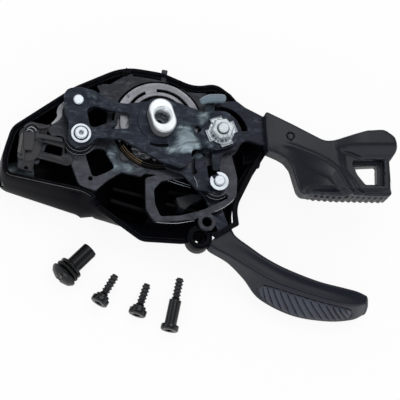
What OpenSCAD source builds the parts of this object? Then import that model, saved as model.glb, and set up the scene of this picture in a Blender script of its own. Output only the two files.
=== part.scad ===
// Bicycle thumb shifter with its bottom cover off: a moulded shell that carries
// a stamped base plate, a cable spool with its index and ratchet wheels, a thumb
// lever, a release lever and their pawls. The origin is on the clamp bolt's axis,
// at the top face of the clamp nut. X runs along the shifter, Z is the bolt's axis.

/* [Clamp nut] */
// Bore of the M5 clamp thread
clamp_bore_d = 4.2; // [4:0.05:4.4]
// Depth of the clamp thread
clamp_depth = 8; // [6:0.5:9]
// Width of the oval nut across its flats
nut_w = 6.8; // [6.2:0.1:7.4]
// Length of the oval nut
nut_l = 10; // [9:0.1:11.5]
// Height of the oval nut above the support plate
nut_h = 4.5; // [3.5:0.1:5.5]
// Direction of the oval nut's long side
nut_angle = 105; // [90:1:120]

/* [Plates and wheels] */
// Thickness of the support plate
support_t = 1.6; // [1.2:0.1:2]
// Gap between the support plate and the index wheel
wheel_gap = 0.4; // [0.3:0.05:0.6]
// Thickness of the index wheel
index_t = 1.2; // [1:0.1:1.4]
// Outer radius of the index wheel
index_r = 11; // [10:0.1:11.4]
// Thickness of the release lever's plate
release_t = 1.6; // [1.2:0.1:1.8]
// Gap between the index wheel and the top of the base plate
base_drop = 1.5; // [1.3:0.1:1.8]
// Thickness of the base plate
base_t = 1.6; // [1.2:0.1:2]
// Gap between the base plate and the thumb lever's plate
lever_gap = 0.6; // [0.5:0.05:0.8]
// Thickness of the thumb lever's plate
lever_t = 2; // [1.6:0.1:2.4]
// Gap between the thumb lever's plate and the cable spool
spool_gap = 0.6; // [0.4:0.1:0.8]
// Height of the cable spool
spool_h = 4.8; // [4:0.1:5.4]
// Outer radius of the cable spool
spool_r = 10.6; // [10:0.1:11.2]
// Depth of the cable groove
groove_depth = 1.6; // [1.2:0.1:2]
// Radius of the main axle
axle_r = 3; // [2.6:0.05:3.2]
// Radius of the hub sleeve that joins the wheels
hub_r = 5; // [4.6:0.1:5.4]
// Radial running clearance of every turning fit
running = 0.06; // [0.03:0.01:0.09]
// Number of teeth on the winding ratchet
ratchet_teeth = 20; // [16:1:24]
// Number of index notches
index_teeth = 11; // [8:1:12]

/* [Shell] */
// Wall of the shell
wall = 1.8; // [1.5:0.1:2.2]
// Height of the rim below the top of the base plate, upwards
rim_rise = 0.6; // [0.4:0.1:0.9]
// Gap between the spool and the shell's floor
floor_gap = 1.4; // [1.2:0.1:2]
// Thickness of the shell's floor
floor_t = 2; // [1.6:0.1:2.4]
// Bore of the socket for the outer casing
casing_d = 4.9; // [4.6:0.1:5.2]
// Depth of the socket for the outer casing
casing_depth = 6; // [5:0.5:7]
// Outer diameter of the casing socket's collar
collar_d = 6.7; // [6.4:0.1:7]
// Bore of the port where the inner cable is put in
port_d = 4.8; // [4.4:0.1:5.2]
// Pilot bore for the cover screws
pilot_d = 2.1; // [1.9:0.1:2.3]

/* [Levers] */
// Width of the thumb lever's steel arm
arm_w = 3.5; // [3:0.1:3.7]
// Number of ribs on the thumb grip
grip_ribs = 14; // [10:1:18]
// Thickness of the thumb grip between its ribs
grip_t = 0.35; // [0.3:0.05:0.5]
// Height of the grip's ribs
grip_rib_h = 0.45; // [0.3:0.05:0.6]
// Number of ribs on the release pad's thumb face
pad_ribs = 13; // [10:1:18]

/* [Fasteners] */
// Across flats of the release axle's nut
hex_af = 5.5; // [5:0.1:6]
// Height of the release axle's nut
hex_h = 2.4; // [2:0.1:3]
// Radius of the release axle's bearing shoulder
release_axle_r = 2.5; // [2.2:0.1:2.8]
// Thread diameter of the cover screws
screw_d = 2.5; // [2.2:0.1:2.8]
// Head diameter of the cover screws
screw_head_d = 5; // [4.4:0.1:5.2]
// Length of the short cover screws under the head
short_screw_l = 7.6; // [6:0.2:8]
// Length of the shoulder screw under the head
long_screw_l = 13.6; // [12:0.2:14]
// Shank diameter of the port plug
plug_d = 4.6; // [4.4:0.05:4.7]
// Length of the port plug's shank
plug_l = 6.8; // [5:0.2:7.4]

/* [Hidden] */
$fn = 48;
touch = 0.02;
above = 1;

// heights, from the clamp nut's top face down
support_top = -nut_h;
support_bot = support_top - support_t;
index_top = support_bot - wheel_gap;
index_bot = index_top - index_t;
base_top = index_bot - base_drop;
base_bot = base_top - base_t;
lever_top = base_bot - lever_gap;
lever_bot = lever_top - lever_t;
spool_top = lever_bot - spool_gap;
spool_bot = spool_top - spool_h;
floor_in = spool_bot - floor_gap;
floor_out = floor_in - floor_t;
rim = base_top + rim_rise;
low_rim = lever_bot - 1.4;
guard_top = base_bot + 1.2;
release_top = index_top - 0.1;
release_bot = release_top - release_t;
groove_mid = spool_bot + spool_h / 2;

// centres of the posts, in plan
upper_post = [-22.6, 5.6];
lower_post = [-22.2, -4.1];
release_post = [17, -3.2];
clip_post = [15.6, -17.6];
eyelet = [12.6, -27.8];
cover_boss = [10.7, -31.7];
collar_at = [-42, -12.4];

// the cable's line leaves the collar and touches the bottom of the cable groove
cable_r = spool_r - groove_depth;
cable_dir = atan2(-collar_at[1], -collar_at[0]) - asin(cable_r / norm(collar_at));
port_at = collar_at + 71.2 * [cos(cable_dir), sin(cable_dir)];
port_z = low_rim - 0.7 - port_d / 2;

black_plastic = [0.07, 0.07, 0.08];
dark_steel = [0.2, 0.2, 0.23];
mid_steel = [0.45, 0.44, 0.47];
bright_steel = [0.85, 0.86, 0.86];

// ---- outlines ----------------------------------------------------------------
function unit(v) = v / norm(v);
function mix(a, b, t) = a + (b - a) * t;
function xy(p) = [p[0], p[1]];
function turn(a) = a > 180 ? a - 360 : a < -180 ? a + 360 : a;

// one corner of a path as an arc of n + 1 points, each with the corner's extra values
function corner(p0, p1, p2, r, extra, n) =
    let (u = unit(p0 - p1), v = unit(p2 - p1), half = acos(max(-1, min(1, u * v))) / 2)
    r <= 0 || half > 88 ? [concat(p1, extra)] :
    let (
        reach = min(r / tan(half), 0.47 * min(norm(p0 - p1), norm(p2 - p1))),
        rr = reach * tan(half),
        c = p1 + unit(u + v) * rr / sin(half),
        s = p1 + u * reach - c,
        e = p1 + v * reach - c,
        a0 = atan2(s[1], s[0]),
        sweep = turn(atan2(e[1], e[0]) - a0)
    )
    [for (i = [0 : n]) let (a = a0 + sweep * i / n) concat(c + rr * [cos(a), sin(a)], extra)];

// a closed path of [x, y, corner radius, other values], with its corners rounded
function rounded(path, n = 4) =
    let (m = len(path))
    [for (i = [0 : m - 1])
        each corner(xy(path[(i + m - 1) % m]), xy(path[i]), xy(path[(i + 1) % m]),
                    path[i][2], [for (k = [3 : 1 : len(path[i]) - 1]) path[i][k]], n)];

// an even ribbon of width w along a line of points
function ribbon(points, w) =
    let (
        m = len(points),
        dirs = [for (i = [0 : m - 2]) unit(points[i + 1] - points[i])],
        sides = [for (i = [0 : m - 1])
            let (a = dirs[max(i - 1, 0)], b = dirs[min(i, m - 2)], t = unit(a + b), k = w / 2 / (t * b))
            k * [-t[1], t[0]]]
    )
    concat([for (i = [0 : m - 1]) points[i] - sides[i]], [for (i = [m - 1 : -1 : 0]) points[i] + sides[i]]);

module plate(path, z0, z1, n = 4) {
    translate([0, 0, z0])
        linear_extrude(z1 - z0)
            polygon([for (p = rounded(path, n)) xy(p)]);
}

// a strip with square ends along a line of points
module strip(points, w, z0, z1) {
    translate([0, 0, z0])
        linear_extrude(z1 - z0)
            polygon(ribbon(points, w));
}

// a flat bar with round ends
module bar(a, b, w, z0, z1) {
    d = b - a;
    translate([a[0], a[1], z0])
        rotate(atan2(d[1], d[0]))
            translate([0, -w / 2, 0])
                cube([norm(d), w, z1 - z0]);
    for (p = [a, b])
        disc(p, w / 2, z0, z1);
}

module disc(p, r, z0, z1) {
    translate([p[0], p[1], z0])
        cylinder(r = r, h = z1 - z0);
}

module hole(p, r, z0, z1) {
    disc(p, r, z0 - above, z1 + above);
}

module ring(p, r_in, r_out, z0, z1) {
    difference() {
        disc(p, r_out, z0, z1);
        hole(p, r_in, z0, z1);
    }
}

// a flat sector between two angles, for slots that follow an arc
module sector(r_in, r_out, a0, a1, z0, z1) {
    translate([0, 0, z0])
        rotate(a0)
            rotate_extrude(angle = a1 - a0)
                translate([r_in, 0])
                    square([r_out - r_in, z1 - z0]);
}

module at(p) {
    translate([p[0], p[1], 0])
        children();
}

// ---- shell -------------------------------------------------------------------
// corners of the rim: x, y, radius, height, and how far the wall leans inwards below it
shell_path = [
    [-43.6, -14.8, 3, rim, -0.8], [-21, -20.0, 10, rim, -2.2], [-17.4, -23.4, 6, rim - 3.6, -0.4],
    [-5.4, -32.4, 5, rim - 4.4, 3], [6.5, -33.2, 6, rim - 4.4, 3], [20.8, -28.6, 3, low_rim, 1.6],
    [20.8, -23.5, 8, low_rim, 0.6], [25.2, -14.9, 12, low_rim, 0.2], [30.6, -7.2, 4.5, low_rim, 0],
    [29.9, -1.6, 0.5, low_rim, 0], [29.4, -0.2, 0.5, base_bot, 0], [26.4, 4.6, 4, base_bot, 0],
    [21.2, 9.5, 4, rim, 0], [17.2, 12.6, 5, rim, 0], [11, 11.6, 12, rim, 0],
    [2, 15.6, 14, rim, 0], [-9, 17.4, 16, rim, 0], [-23, 11.2, 20, rim, 0],
    [-40.8, -0.8, 6, rim, 0], [-43.4, -9, 6, rim, 0]
];
shell_mid = [-7, -8];
shell_points = rounded(shell_path, 3);

// rings of the wall below the rim: scale about the middle, share of the lean, height
outer_rings = [[1.01, 1, low_rim - 1.2], [1, 1.3, floor_in + 0.8], [0.95, 1.5, floor_out + 1],
               [0.87, 1.5, floor_out + 0.25], [0.74, 1.5, floor_out]];
inner_rings = [[1.01, 1, low_rim - 1.2], [0.99, 1.3, floor_in + 1.2], [0.94, 1.4, floor_in]];

function scaled(points, s) = [for (p = points) shell_mid + (xy(p) - shell_mid) * s];
function inward(points, d) =
    let (m = len(points))
    [for (i = [0 : m - 1])
        let (t = unit(points[(i + 1) % m] - points[(i + m - 1) % m]))
        points[i] + (is_list(d) ? d[i] : d) * [-t[1], t[0]]];
function at_height(points, z) = [for (p = points) [p[0], p[1], z]];
function wall_ring(ring, inset) =
    at_height(inward(scaled(shell_points, ring[0]), [for (p = shell_points) p[3] * ring[1] + inset]), ring[2]);

// quads that join ring k to ring k + 1 of m points each
function skin_faces(m, k) =
    [for (i = [0 : m - 1]) let (j = (i + 1) % m) [k * m + i, k * m + j, (k + 1) * m + j, (k + 1) * m + i]];

module shell_skin() {
    m = len(shell_points);
    rim_in = inward(scaled(shell_points, 1), wall);
    rings = concat(
        [for (k = [len(inner_rings) - 1 : -1 : 0]) wall_ring(inner_rings[k], wall)],
        [[for (i = [0 : m - 1]) [rim_in[i][0], rim_in[i][1], shell_points[i][2]]]],
        [[for (p = shell_points) [p[0], p[1], p[2]]]],
        [for (r = outer_rings) wall_ring(r, 0)]
    );
    last = len(rings) - 1;
    middle = (last + 1) * m;
    polyhedron(
        points = concat([for (r = rings) each r], [concat(shell_mid, floor_in), concat(shell_mid, floor_out)]),
        faces = concat(
            [for (i = [0 : m - 1]) [middle, (i + 1) % m, i]],
            [for (k = [0 : last - 1]) each skin_faces(m, k)],
            [for (i = [0 : m - 1]) [last * m + i, last * m + (i + 1) % m, middle + 1]]
        ),
        convexity = 8
    );
}

post_r = 1.9;
boss_r = 3.5;
boss_drop = 6.4;
shell_posts = [[-29.4, -1.0], [-14.6, 11.0]];
// the inner wall that carries the rim's line on behind the flare
ledge_path = [[-21.6, -20.6, 0], [-13.6, -22, 6], [-5.6, -25.2, 0], [-5.2, -24.1, 0], [-13.2, -20.8, 6], [-21.2, -19.4, 0]];

module upper_shell() {
    color(black_plastic)
        difference() {
            union() {
                shell_skin();
                for (p = concat(shell_posts, [eyelet]))
                    disc(p, post_r, floor_in - touch, base_bot);
                disc(cover_boss, boss_r, base_bot - boss_drop, base_bot);
                disc([0, 0], hub_r + 1.2, floor_in - touch, spool_bot - 0.2);
                plate(ledge_path, floor_in - touch, rim - 0.6);
                port_tube(port_d / 2 + 0.7, 0);
            }
            disc(eyelet, pilot_d / 2, floor_in + 0.6, base_bot + above);
            disc(cover_boss, 1.9, base_bot - 3, base_bot + above);
            disc(cover_boss, pilot_d / 2, base_bot - boss_drop + 0.8, base_bot);
            disc([0, 0], axle_r + touch, floor_in, 0);
            port_tube(port_d / 2, 1);
            collar_seat();
            for (a = tab_angles)
                rotate(a)
                    translate([index_r + 2, -tab_w / 2 - 0.3, base_bot - 0.2])
                        cube([8, tab_w + 0.6, 4]);
        }
}

// the round port through the right-hand wall, on the cable's line
module port_tube(r, extra) {
    translate([port_at[0], port_at[1], port_z])
        rotate([0, 90, cable_dir])
            translate([0, 0, -4 - extra])
                cylinder(r = r, h = 5.2 + 2 * extra);
}

module collar_axis() {
    translate([collar_at[0], collar_at[1], groove_mid])
        rotate([0, 90, cable_dir])
            children();
}

module collar_seat() {
    collar_axis()
        translate([0, 0, -3])
            cylinder(d = collar_d + 2 * touch, h = 7.5);
}

module casing_collar() {
    color([0.3, 0.33, 0.33])
        collar_axis()
            difference() {
                union() {
                    cylinder(d = collar_d, h = casing_depth + 1.4);
                    translate([0, 0, -1.4])
                        cylinder(d1 = collar_d - 1, d2 = collar_d, h = 1.4 + touch);
                }
                translate([0, 0, -2.4])
                    cylinder(d = casing_d, h = casing_depth + 1);
                cylinder(d = 1.8, h = 12);
            }
}

// ---- lever guard: the strip of rim that bridges the levers' way out -----------
guard_path = [
    [14.9, -32.2, 0.6], [21.7, -28.6, 0.4], [21.3, -23.5, 8], [26.2, -14.6, 12], [31.2, -7.2, 4],
    [30.2, -0.6, 1], [26.6, 4.4, 3], [25.4, 3.2, 0.6], [27.8, -1.0, 2], [29.4, -7, 3], [24.8, -13.9, 10],
    [20.1, -23.3, 6], [20.1, -27.8, 0.7], [15.9, -30.3, 0.6], [13.2, -30.8, 0.4]
];

module lever_guard() {
    color(black_plastic)
        difference() {
            plate(guard_path, base_bot, guard_top, 5);
            hole(cover_boss, 2.7, base_bot, guard_top);
            hole(eyelet, 2.52, base_bot, guard_top);
        }
}

// ---- cable guide: the moulded frame at the cable's way out --------------------
guide_bot = base_bot + 0.8;
guide_top = base_top + 0.6;
guide_path = [
    [-39.4, -12.6, 1], [-35.2, -13.8, 0.5], [-34.6, -9.4, 1], [-25, -12, 1.4], [-23.4, -9.4, 1.4],
    [-26.4, -8.2, 0.5], [-26, -5.2, 0.8], [-31.2, -3.4, 0.6], [-30.6, -0.3, 1.2], [-34.5, 0.4, 2.4], [-38.6, -1.8, 2]
];

module cable_guide() {
    color([0.16, 0.16, 0.17])
        difference() {
            union() {
                plate(guide_path, guide_bot, guide_top, 5);
                bar([-37.7, -3.2], [-38.3, -11], 1.4, guide_bot - 2, guide_top + 1.2);
                disc([-35.2, -2.2], 1.9, guide_bot - 2, guide_top + 0.5);
            }
            plate([[-33, -7.8, 0.5], [-27.2, -9.4, 0.5], [-26.8, -6.6, 0.5], [-32.4, -5, 0.5]],
                  guide_bot - 1, guide_top + 1, 4);
            plate(left_path, guide_bot - 1, base_top, 5);
            hole([-37, -12.6], 0.6, guide_bot, guide_top);
        }
}

// ---- base plate ---------------------------------------------------------------
base_hole_r = index_r + 2;
plate_gap = 0.3;
base_ring_r = base_hole_r + 1.4;
tab_angles = [80.5, 116];
tab_w = 1.6;
loop_out = [
    [-4.2, -15.2, 1], [-4.4, -24.2, 4], [-1.9, -28, 2.2], [8.8, -27.2, 8], [16.4, -24.6, 6], [21.3, -21.2, 3.5],
    [21.9, -15, 8], [20.6, -8, 6], [21.6, -3, 4], [14, -8, 2], [4, -13, 2]
];
loop_in = [
    [0.4, -16.1, 1.2], [-1.9, -18.6, 1.5], [-1.7, -22.8, 3], [-0.4, -26.2, 1], [5, -26, 8], [11.4, -24.5, 10],
    [18.9, -21, 2.5], [18.7, -19.9, 0.4], [15.4, -20.6, 1.6], [12.8, -18.8, 1.6], [13.3, -15.6, 2], [17.6, -13.4, 1.6],
    [15.6, -10.8, 2], [6.4, -15.2, 3]
];
left_path = [
    [-11, 9.6, 2], [-17.4, 12.6, 0.6], [-15.9, 9.9, 0.8], [-17.6, 7.6, 0.5], [-21.6, 9.6, 3], [-26.2, 8.2, 4],
    [-28.6, 0.6, 4], [-31.4, -1.2, 1], [-29.6, -3.4, 1], [-26.6, -3.2, 1.2], [-25.6, -8.4, 3],
    [-24.2, -12.6, 2], [-22.6, -17.4, 2.5], [-18.2, -19, 1], [-15, -16.2, 1], [-10.6, -13.4, 1], [-5.4, -14.8, 1.5],
    [-3, -13, 2]
];
arch_path = [
    [-11.2, 8.8, 0.5], [-16.6, 12.2, 0.4], [-13, 12.2, 0.6], [-9, 14.6, 3], [-7, 15.6, 0.6], [-1.5, 15.4, 2], [3.2, 14.4, 1],
    [10.4, 10.8, 1], [13.6, 10.4, 1], [19.6, 4.6, 2], [14, 2, 1], [8, 8, 1], [0, 12, 2]
];
tongue_path = [[-27, -2.6, 0.5], [-33, -3.4, 0.8], [-36, -10.4, 1], [-33.6, -11.4, 0.8], [-31, -5.4, 0.6], [-26.6, -5.4, 0.5]];
left_window = [[-20.6, -8.4, 1], [-18.8, -15.2, 1.2], [-15.2, -13.8, 1], [-12.4, -12.2, 1], [-15.2, -6.8, 1.5], [-17.6, -6.6, 1]];
upper_window = [[-20.4, 2.8, 1], [-19.6, -1.4, 1], [-13.9, -2.8, 0.8], [-13.9, 3.8, 0.8], [-16.8, 5.8, 1]];

module flat(path, n = 4) {
    polygon([for (p = rounded(path, n)) xy(p)]);
}

module dot(p, r) {
    translate(p)
        circle(r = r);
}

// the part of an outline that lies clear inside the shell's wall
module within_walls() {
    intersection() {
        union() children();
        polygon([for (p = inward(scaled(shell_points, 1), wall + plate_gap)) xy(p)]);
    }
}

module base_plate() {
    color(dark_steel) {
        translate([0, 0, base_bot])
            linear_extrude(base_t)
                difference() {
                    union() {
                        within_walls() {
                            dot([0, 0], base_ring_r);
                            flat(arch_path, 5);
                            difference() {
                                flat(left_path, 5);
                                flat(left_window, 5);
                                flat(upper_window, 5);
                            }
                        }
                        difference() {
                            flat(loop_out, 6);
                            flat(loop_in, 6);
                            intersection() {
                                flat(guard_path, 5);
                                translate([18.5, -22.5])
                                    square([8, 12]);
                            }
                        }
                        dot(release_post, 6.6);
                        dot(eyelet, 2.5);
                        polygon([[11.2, -26.2], [10.6, -24.6], [13.4, -23.8], [14, -26.2]]);
                        for (a = tab_angles)
                            rotate(a)
                                translate([base_hole_r - 0.5, -tab_w / 2])
                                    square([4.4, tab_w]);
                    }
                    dot([0, 0], base_hole_r);
                    dot(eyelet, 1.4);
                    for (p = [upper_post, lower_post, clip_post])
                        dot(p, 1.2 + touch);
                    dot(release_post, release_axle_r + touch);
                    dot([-19.4, -15.4], 0.6);
                }
        plate(tongue_path, base_bot, guide_bot, 3);
    }
}

// ---- support plate ------------------------------------------------------------
support_path = [
    [-22, 9.6, 3.2], [-26.4, 9, 3.4], [-26.4, 2.4, 3], [-25.4, -0.6, 3], [-26, -7.4, 3.6], [-21, -8.2, 3.4],
    [-18, -5.2, 2], [-11, -5.4, 3], [-6.6, -8, 4], [-0.4, -11.8, 6], [5.6, -14, 2.4], [8.4, -11.4, 2.4],
    [8.2, -8.2, 2], [12.2, -7.8, 2], [15.6, -8.6, 3], [21.4, -6.8, 4], [22.6, -0.4, 4], [18.6, 3.2, 4],
    [12.8, 2.6, 2], [8, 4.2, 3], [4.6, 5.6, 3], [-3.2, 5.6, 3], [-9.4, 4.8, 4], [-13.4, 5.4, 4], [-18.2, 8.6, 3]
];
support_window = [[-20.4, 3.2, 1.4], [-19.6, -1.8, 2], [-18, -2.6, 1], [-8.6, -2.4, 1.2], [-8.4, 2.2, 1.2], [-13.4, 2.6, 3], [-18, 4, 1.6]];

bumper_arm = [[12.4, 1, 0], [15.4, 1, 0], [15.6, 6.6, 0], [13.4, 6.4, 0]];

module support_plate() {
    color(dark_steel)
        difference() {
            union() {
                plate(support_path, support_bot, support_top, 5);
                disc([0, 0], 6.4, support_bot, support_top + 0.5);
                plate(bumper_arm, support_bot, support_top, 3);
            }
            plate(support_window, support_bot - 1, support_top + 1, 5);
            hole([0, 0], axle_r + touch, support_bot, support_top + 1);
            for (p = [upper_post, lower_post])
                hole(p, 1.2 + touch, support_bot, support_top);
            hole(release_post, 1.5 + touch, support_bot, support_top);
            hole([10.4, -2.4], 1, support_bot, support_top);
            rotate(nut_angle)
                translate([0, 0, support_top])
                    rounded_oval(nut_l + 0.1, nut_w + 0.1, 2);
            translate([0, 0, support_bot - 1])
                sector(6.9, 7.7, 245, 285, 0, 4);
        }
}

module rounded_oval(l, w, h) {
    for (s = [-1, 1])
        translate([s * (l - w) / 2, 0, 0])
            cylinder(d = w, h = h);
    translate([-(l - w) / 2, -w / 2, 0])
        cube([l - w, w, h]);
}

// ---- clamp nut and main axle ----------------------------------------------------
module clamp_nut() {
    color(bright_steel)
        difference() {
            rotate(nut_angle)
                translate([0, 0, support_top])
                    rounded_oval(nut_l, nut_w, nut_h);
            hole([0, 0], clamp_bore_d / 2, support_top, 0);
            translate([0, 0, -0.5])
                cylinder(d1 = clamp_bore_d, d2 = clamp_bore_d + 1.2, h = 0.5 + touch);
        }
}

module main_axle() {
    color(bright_steel)
        difference() {
            disc([0, 0], axle_r, floor_in, support_top);
            disc([0, 0], clamp_bore_d / 2, -clamp_depth, support_top + above);
            disc([0, 0], 1.2, floor_in - 1, -clamp_depth);
        }
}

// ---- posts, rivets and their washers -------------------------------------------
module rivet(p, head_r, head_h) {
    disc(p, 1.2, base_bot, support_top);
    disc(p, head_r, support_top, support_top + head_h);
}

module plate_spacers() {
    color(mid_steel)
        for (p = [upper_post, lower_post])
            ring(p, 1.2 + touch, 2, base_top, support_bot);
}

module upper_rivet() {
    color(bright_steel)
        rivet(upper_post, 1.45, 0.9);
}

module lower_rivet() {
    color(bright_steel)
        difference() {
            rivet(lower_post, 1.8, 1.3);
            disc(lower_post, 0.5, support_top + 0.6, support_top + 3);
        }
}

module lower_rivet_washer() {
    color(bright_steel)
        ring(lower_post, 2, 2.8, support_top, support_top + 0.7);
}

module release_axle() {
    color(bright_steel) {
        disc(release_post, release_axle_r, base_bot, support_bot);
        disc(release_post, 1.5, support_bot, support_top + 0.6 + hex_h + 0.8);
    }
}

module axle_spacers() {
    color(mid_steel) {
        ring(release_post, release_axle_r + touch, 4.2, base_top, release_bot - 0.06);
        ring(release_post, release_axle_r + touch, 3.8, release_top + 0.06, support_bot);
    }
}

module lock_washer() {
    color(bright_steel)
        difference() {
            union() {
                disc(release_post, 3.6, support_top, support_top + 0.6);
                for (a = [20 : 90 : 290])
                    at(release_post)
                        rotate(a)
                            translate([0, -1.7, support_top])
                                cube([4.3, 3.4, 0.6]);
            }
            hole(release_post, 1.5 + touch, support_top, support_top + 0.6);
        }
}

module release_nut() {
    color(bright_steel)
        difference() {
            at(release_post)
                rotate(8)
                    translate([0, 0, support_top + 0.6])
                        cylinder(d = hex_af / cos(30), h = hex_h, $fn = 6);
            hole(release_post, 1.5 + touch, support_top, support_top + 0.6 + hex_h);
        }
}

module pawl_post() {
    color(bright_steel) {
        disc(clip_post, 1.2, base_bot, base_top);
        disc(clip_post, 1.9, base_top, index_bot - 0.35);
        disc(clip_post, 1.5, index_bot - 0.35, support_top - 0.1);
        disc(clip_post, 1.1, support_top - 0.1, support_top + 0.6);
        disc(clip_post, 1.5, support_top + 0.6, support_top + 1.4);
    }
}

module post_clip() {
    color(bright_steel)
        difference() {
            disc(clip_post, 2.65, support_top, support_top + 0.5);
            hole(clip_post, 1.1 + touch, support_top, support_top + 0.5);
            at(clip_post)
                rotate(125)
                    translate([0, -0.9, support_top - 1])
                        cube([4, 1.8, 3]);
        }
}

module stop_bumper() {
    color([0.35, 0.42, 0.45])
        difference() {
            translate([11.6, 6.7, (support_top + support_bot) / 2 + 0.4])
                rotate([0, 90, 4])
                    cylinder(r = 1.3, h = 7.4);
            plate(bumper_arm, support_bot, support_top);
        }
}

// ---- springs -------------------------------------------------------------------
// round wire wound on a helix, as rings of points swept along the coil
function coil_ring(c, r, z, a, wire, sides) =
    [for (s = [0 : sides - 1])
        let (q = 360 * s / sides)
        [c[0] + (r + wire * cos(q)) * cos(a), c[1] + (r + wire * cos(q)) * sin(a), z + wire * sin(q)]];

module coil(c, r, z0, pitch, turns, wire, start = 0, spread = 0, per_turn = 20, sides = 6) {
    count = floor(turns * per_turn);
    points = [for (i = [0 : count])
        each coil_ring(c, r + spread * i / per_turn, z0 + pitch * i / per_turn, start + 360 * i / per_turn, wire, sides)];
    polyhedron(
        points = points,
        faces = concat(
            [[for (s = [0 : sides - 1]) s]],
            [for (i = [0 : count - 1]) for (s = [0 : sides - 1])
                [i * sides + s, (i + 1) * sides + s, (i + 1) * sides + (s + 1) % sides, i * sides + (s + 1) % sides]],
            [[for (s = [sides - 1 : -1 : 0]) count * sides + s]]
        ),
        convexity = 10
    );
}

spring_wire = 0.24;

module lever_return_spring() {
    color([0.25, 0.2, 0.16])
        coil([0, 0], index_r + 0.5, base_top + 0.3, -0.5, 2.9, spring_wire, 200, 0.42);
}

module spool_spring() {
    color(mid_steel)
        coil([0, 0], hub_r + 1.2 + 0.3, (spool_bot + floor_in) / 2, 0, 2.6, 0.3, 20, 1.2);
}

module stop_pawl_spring() {
    color(bright_steel)
        coil(lower_post, 2.6, base_top + 0.3, 0.45, 2, 0.2, 120, per_turn = 14);
}

module holding_pawl_spring() {
    color(bright_steel)
        coil(clip_post, 2.4, base_top + 0.3, 0.45, 2, 0.2, 300, per_turn = 14);
}

module release_spring() {
    color([0.25, 0.2, 0.16])
        coil(release_post, 5.1, base_top + 0.27, 0, 0.85, 0.25, 30, per_turn = 16);
}

// ---- spool, wheels and their hub -------------------------------------------------
module index_wheel() {
    color(mid_steel)
        difference() {
            disc([0, 0], index_r, index_bot, index_top);
            hole([0, 0], axle_r + running, index_bot, index_top);
            translate([0, 0, index_bot - 1]) {
                sector(index_r - 2, index_r - 1.2, 112, 146, 0, 4);
                sector(index_r - 2, index_r - 1.2, 15, 92, 0, 4);
                sector(index_r - 4, index_r - 3.1, 28, 152, 0, 4);
                sector(index_r - 4.6, index_r - 2.6, 195, 300, 0, 4);
            }
            for (i = [0 : index_teeth - 1])
                rotate(195 + 12 * i)
                    translate([index_r, 0, index_bot - 1])
                        rotate(20)
                            translate([-0.7, -0.7, 0])
                                cube([1.6, 1.4, 4]);
        }
}

ratchet_r = 7.6;
module winding_ratchet() {
    top = index_bot;
    bot = lever_top + 0.3;
    color(mid_steel)
        difference() {
            translate([0, 0, bot])
                linear_extrude(top - bot)
                    polygon([for (i = [0 : ratchet_teeth - 1], k = [0, 1])
                        let (a = 360 * (i + k * 0.82) / ratchet_teeth, r = ratchet_r - (1 - k) * 1.1)
                        r * [cos(a), sin(a)]]);
            hole([0, 0], hub_r, bot, top);
        }
}

module hub_sleeve() {
    color(mid_steel)
        ring([0, 0], axle_r + running, hub_r, spool_top, index_bot);
}

module cable_spool() {
    color([0.1, 0.1, 0.1])
        difference() {
            translate([0, 0, spool_bot])
                rotate_extrude()
                    polygon([
                        [axle_r + running, 0], [spool_r, 0], [spool_r, 1.1], [spool_r - groove_depth, 1.7],
                        [spool_r - groove_depth, spool_h - 1.7], [spool_r, spool_h - 1.1], [spool_r, spool_h],
                        [axle_r + running, spool_h]
                    ]);
            rotate(250)
                translate([spool_r - 3, -1.2, spool_bot + 1])
                    cube([4, 2.4, spool_h]);
            for (a = [0 : 60 : 300])
                rotate(a + 20)
                    translate([7.2, 0, spool_bot + 1.6])
                        cylinder(r = 1.3, h = spool_h);
        }
}

// ---- thumb lever ---------------------------------------------------------------
arm_points = [[4, -5.5], [14.6, -20], [17.5, -29.4], [18.9, -33.4], [22.4, -37.4]];
pin_r = 9.7;
pin_angle = -128;
pin_at = pin_r * [cos(pin_angle), sin(pin_angle)];

module lever_plate() {
    color(dark_steel)
        difference() {
            union() {
                disc([0, 0], 8.4, lever_bot, lever_top);
                strip(arm_points, arm_w, lever_bot, lever_top);
                disc(pin_at, 2.6, lever_bot, lever_top);
            }
            hole([0, 0], hub_r + running, lever_bot, lever_top);
            hole(pin_at, 1, lever_bot, lever_top);
        }
}

// stations along the paddle: far top edge, near top edge, near foot, top and foot heights
paddle_stations = [
    [[19.9, -28.6], [14.7, -32.3], [14.8, -32.5], lever_top + 0.3, lever_bot - 1],
    [[21.1, -31.2], [14.5, -34.2], [13.8, -34.6], lever_top + 0.35, lever_bot - 1.2],
    [[25.1, -34.5], [18.9, -37.5], [18.6, -38.4], lever_top + 0.5, lever_bot - 1.8],
    [[29.6, -37.8], [24.2, -41.1], [23.2, -42.8], lever_top + 0.8, lever_bot - 3.6],
    [[35.3, -40.9], [30.2, -44.8], [27.6, -48.4], lever_top + 1.1, lever_bot - 5.4],
    [[43.6, -44.3], [38.6, -47.9], [36.8, -53.2], lever_top + 1.1, lever_bot - 6.2],
    [[50.6, -46.2], [47.6, -50.7], [47.0, -55.0], lever_top + 1.0, lever_bot - 6.2],
    [[54.6, -47.2], [53.2, -51.8], [53.8, -54.7], lever_top + 0.7, lever_bot - 5.6],
    [[57.2, -48.7], [56.7, -50.6], [57.4, -52.1], lever_top - 0.2, lever_bot - 4.6]
];
paddle_steps = 3;

// smooth value between stations, by a Catmull-Rom curve
function between(a, b, c, d, t) =
    0.5 * (2 * b + (c - a) * t + (2 * a - 5 * b + 4 * c - d) * t * t + (3 * b - a - 3 * c + d) * t * t * t);
function station(u) =
    let (n = len(paddle_stations) - 1, i = min(floor(u), n - 1), t = u - i,
         a = paddle_stations[max(i - 1, 0)], b = paddle_stations[i],
         c = paddle_stations[i + 1], d = paddle_stations[min(i + 2, n)])
    [for (k = [0 : 4]) between(a[k], b[k], c[k], d[k], t)];

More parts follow.
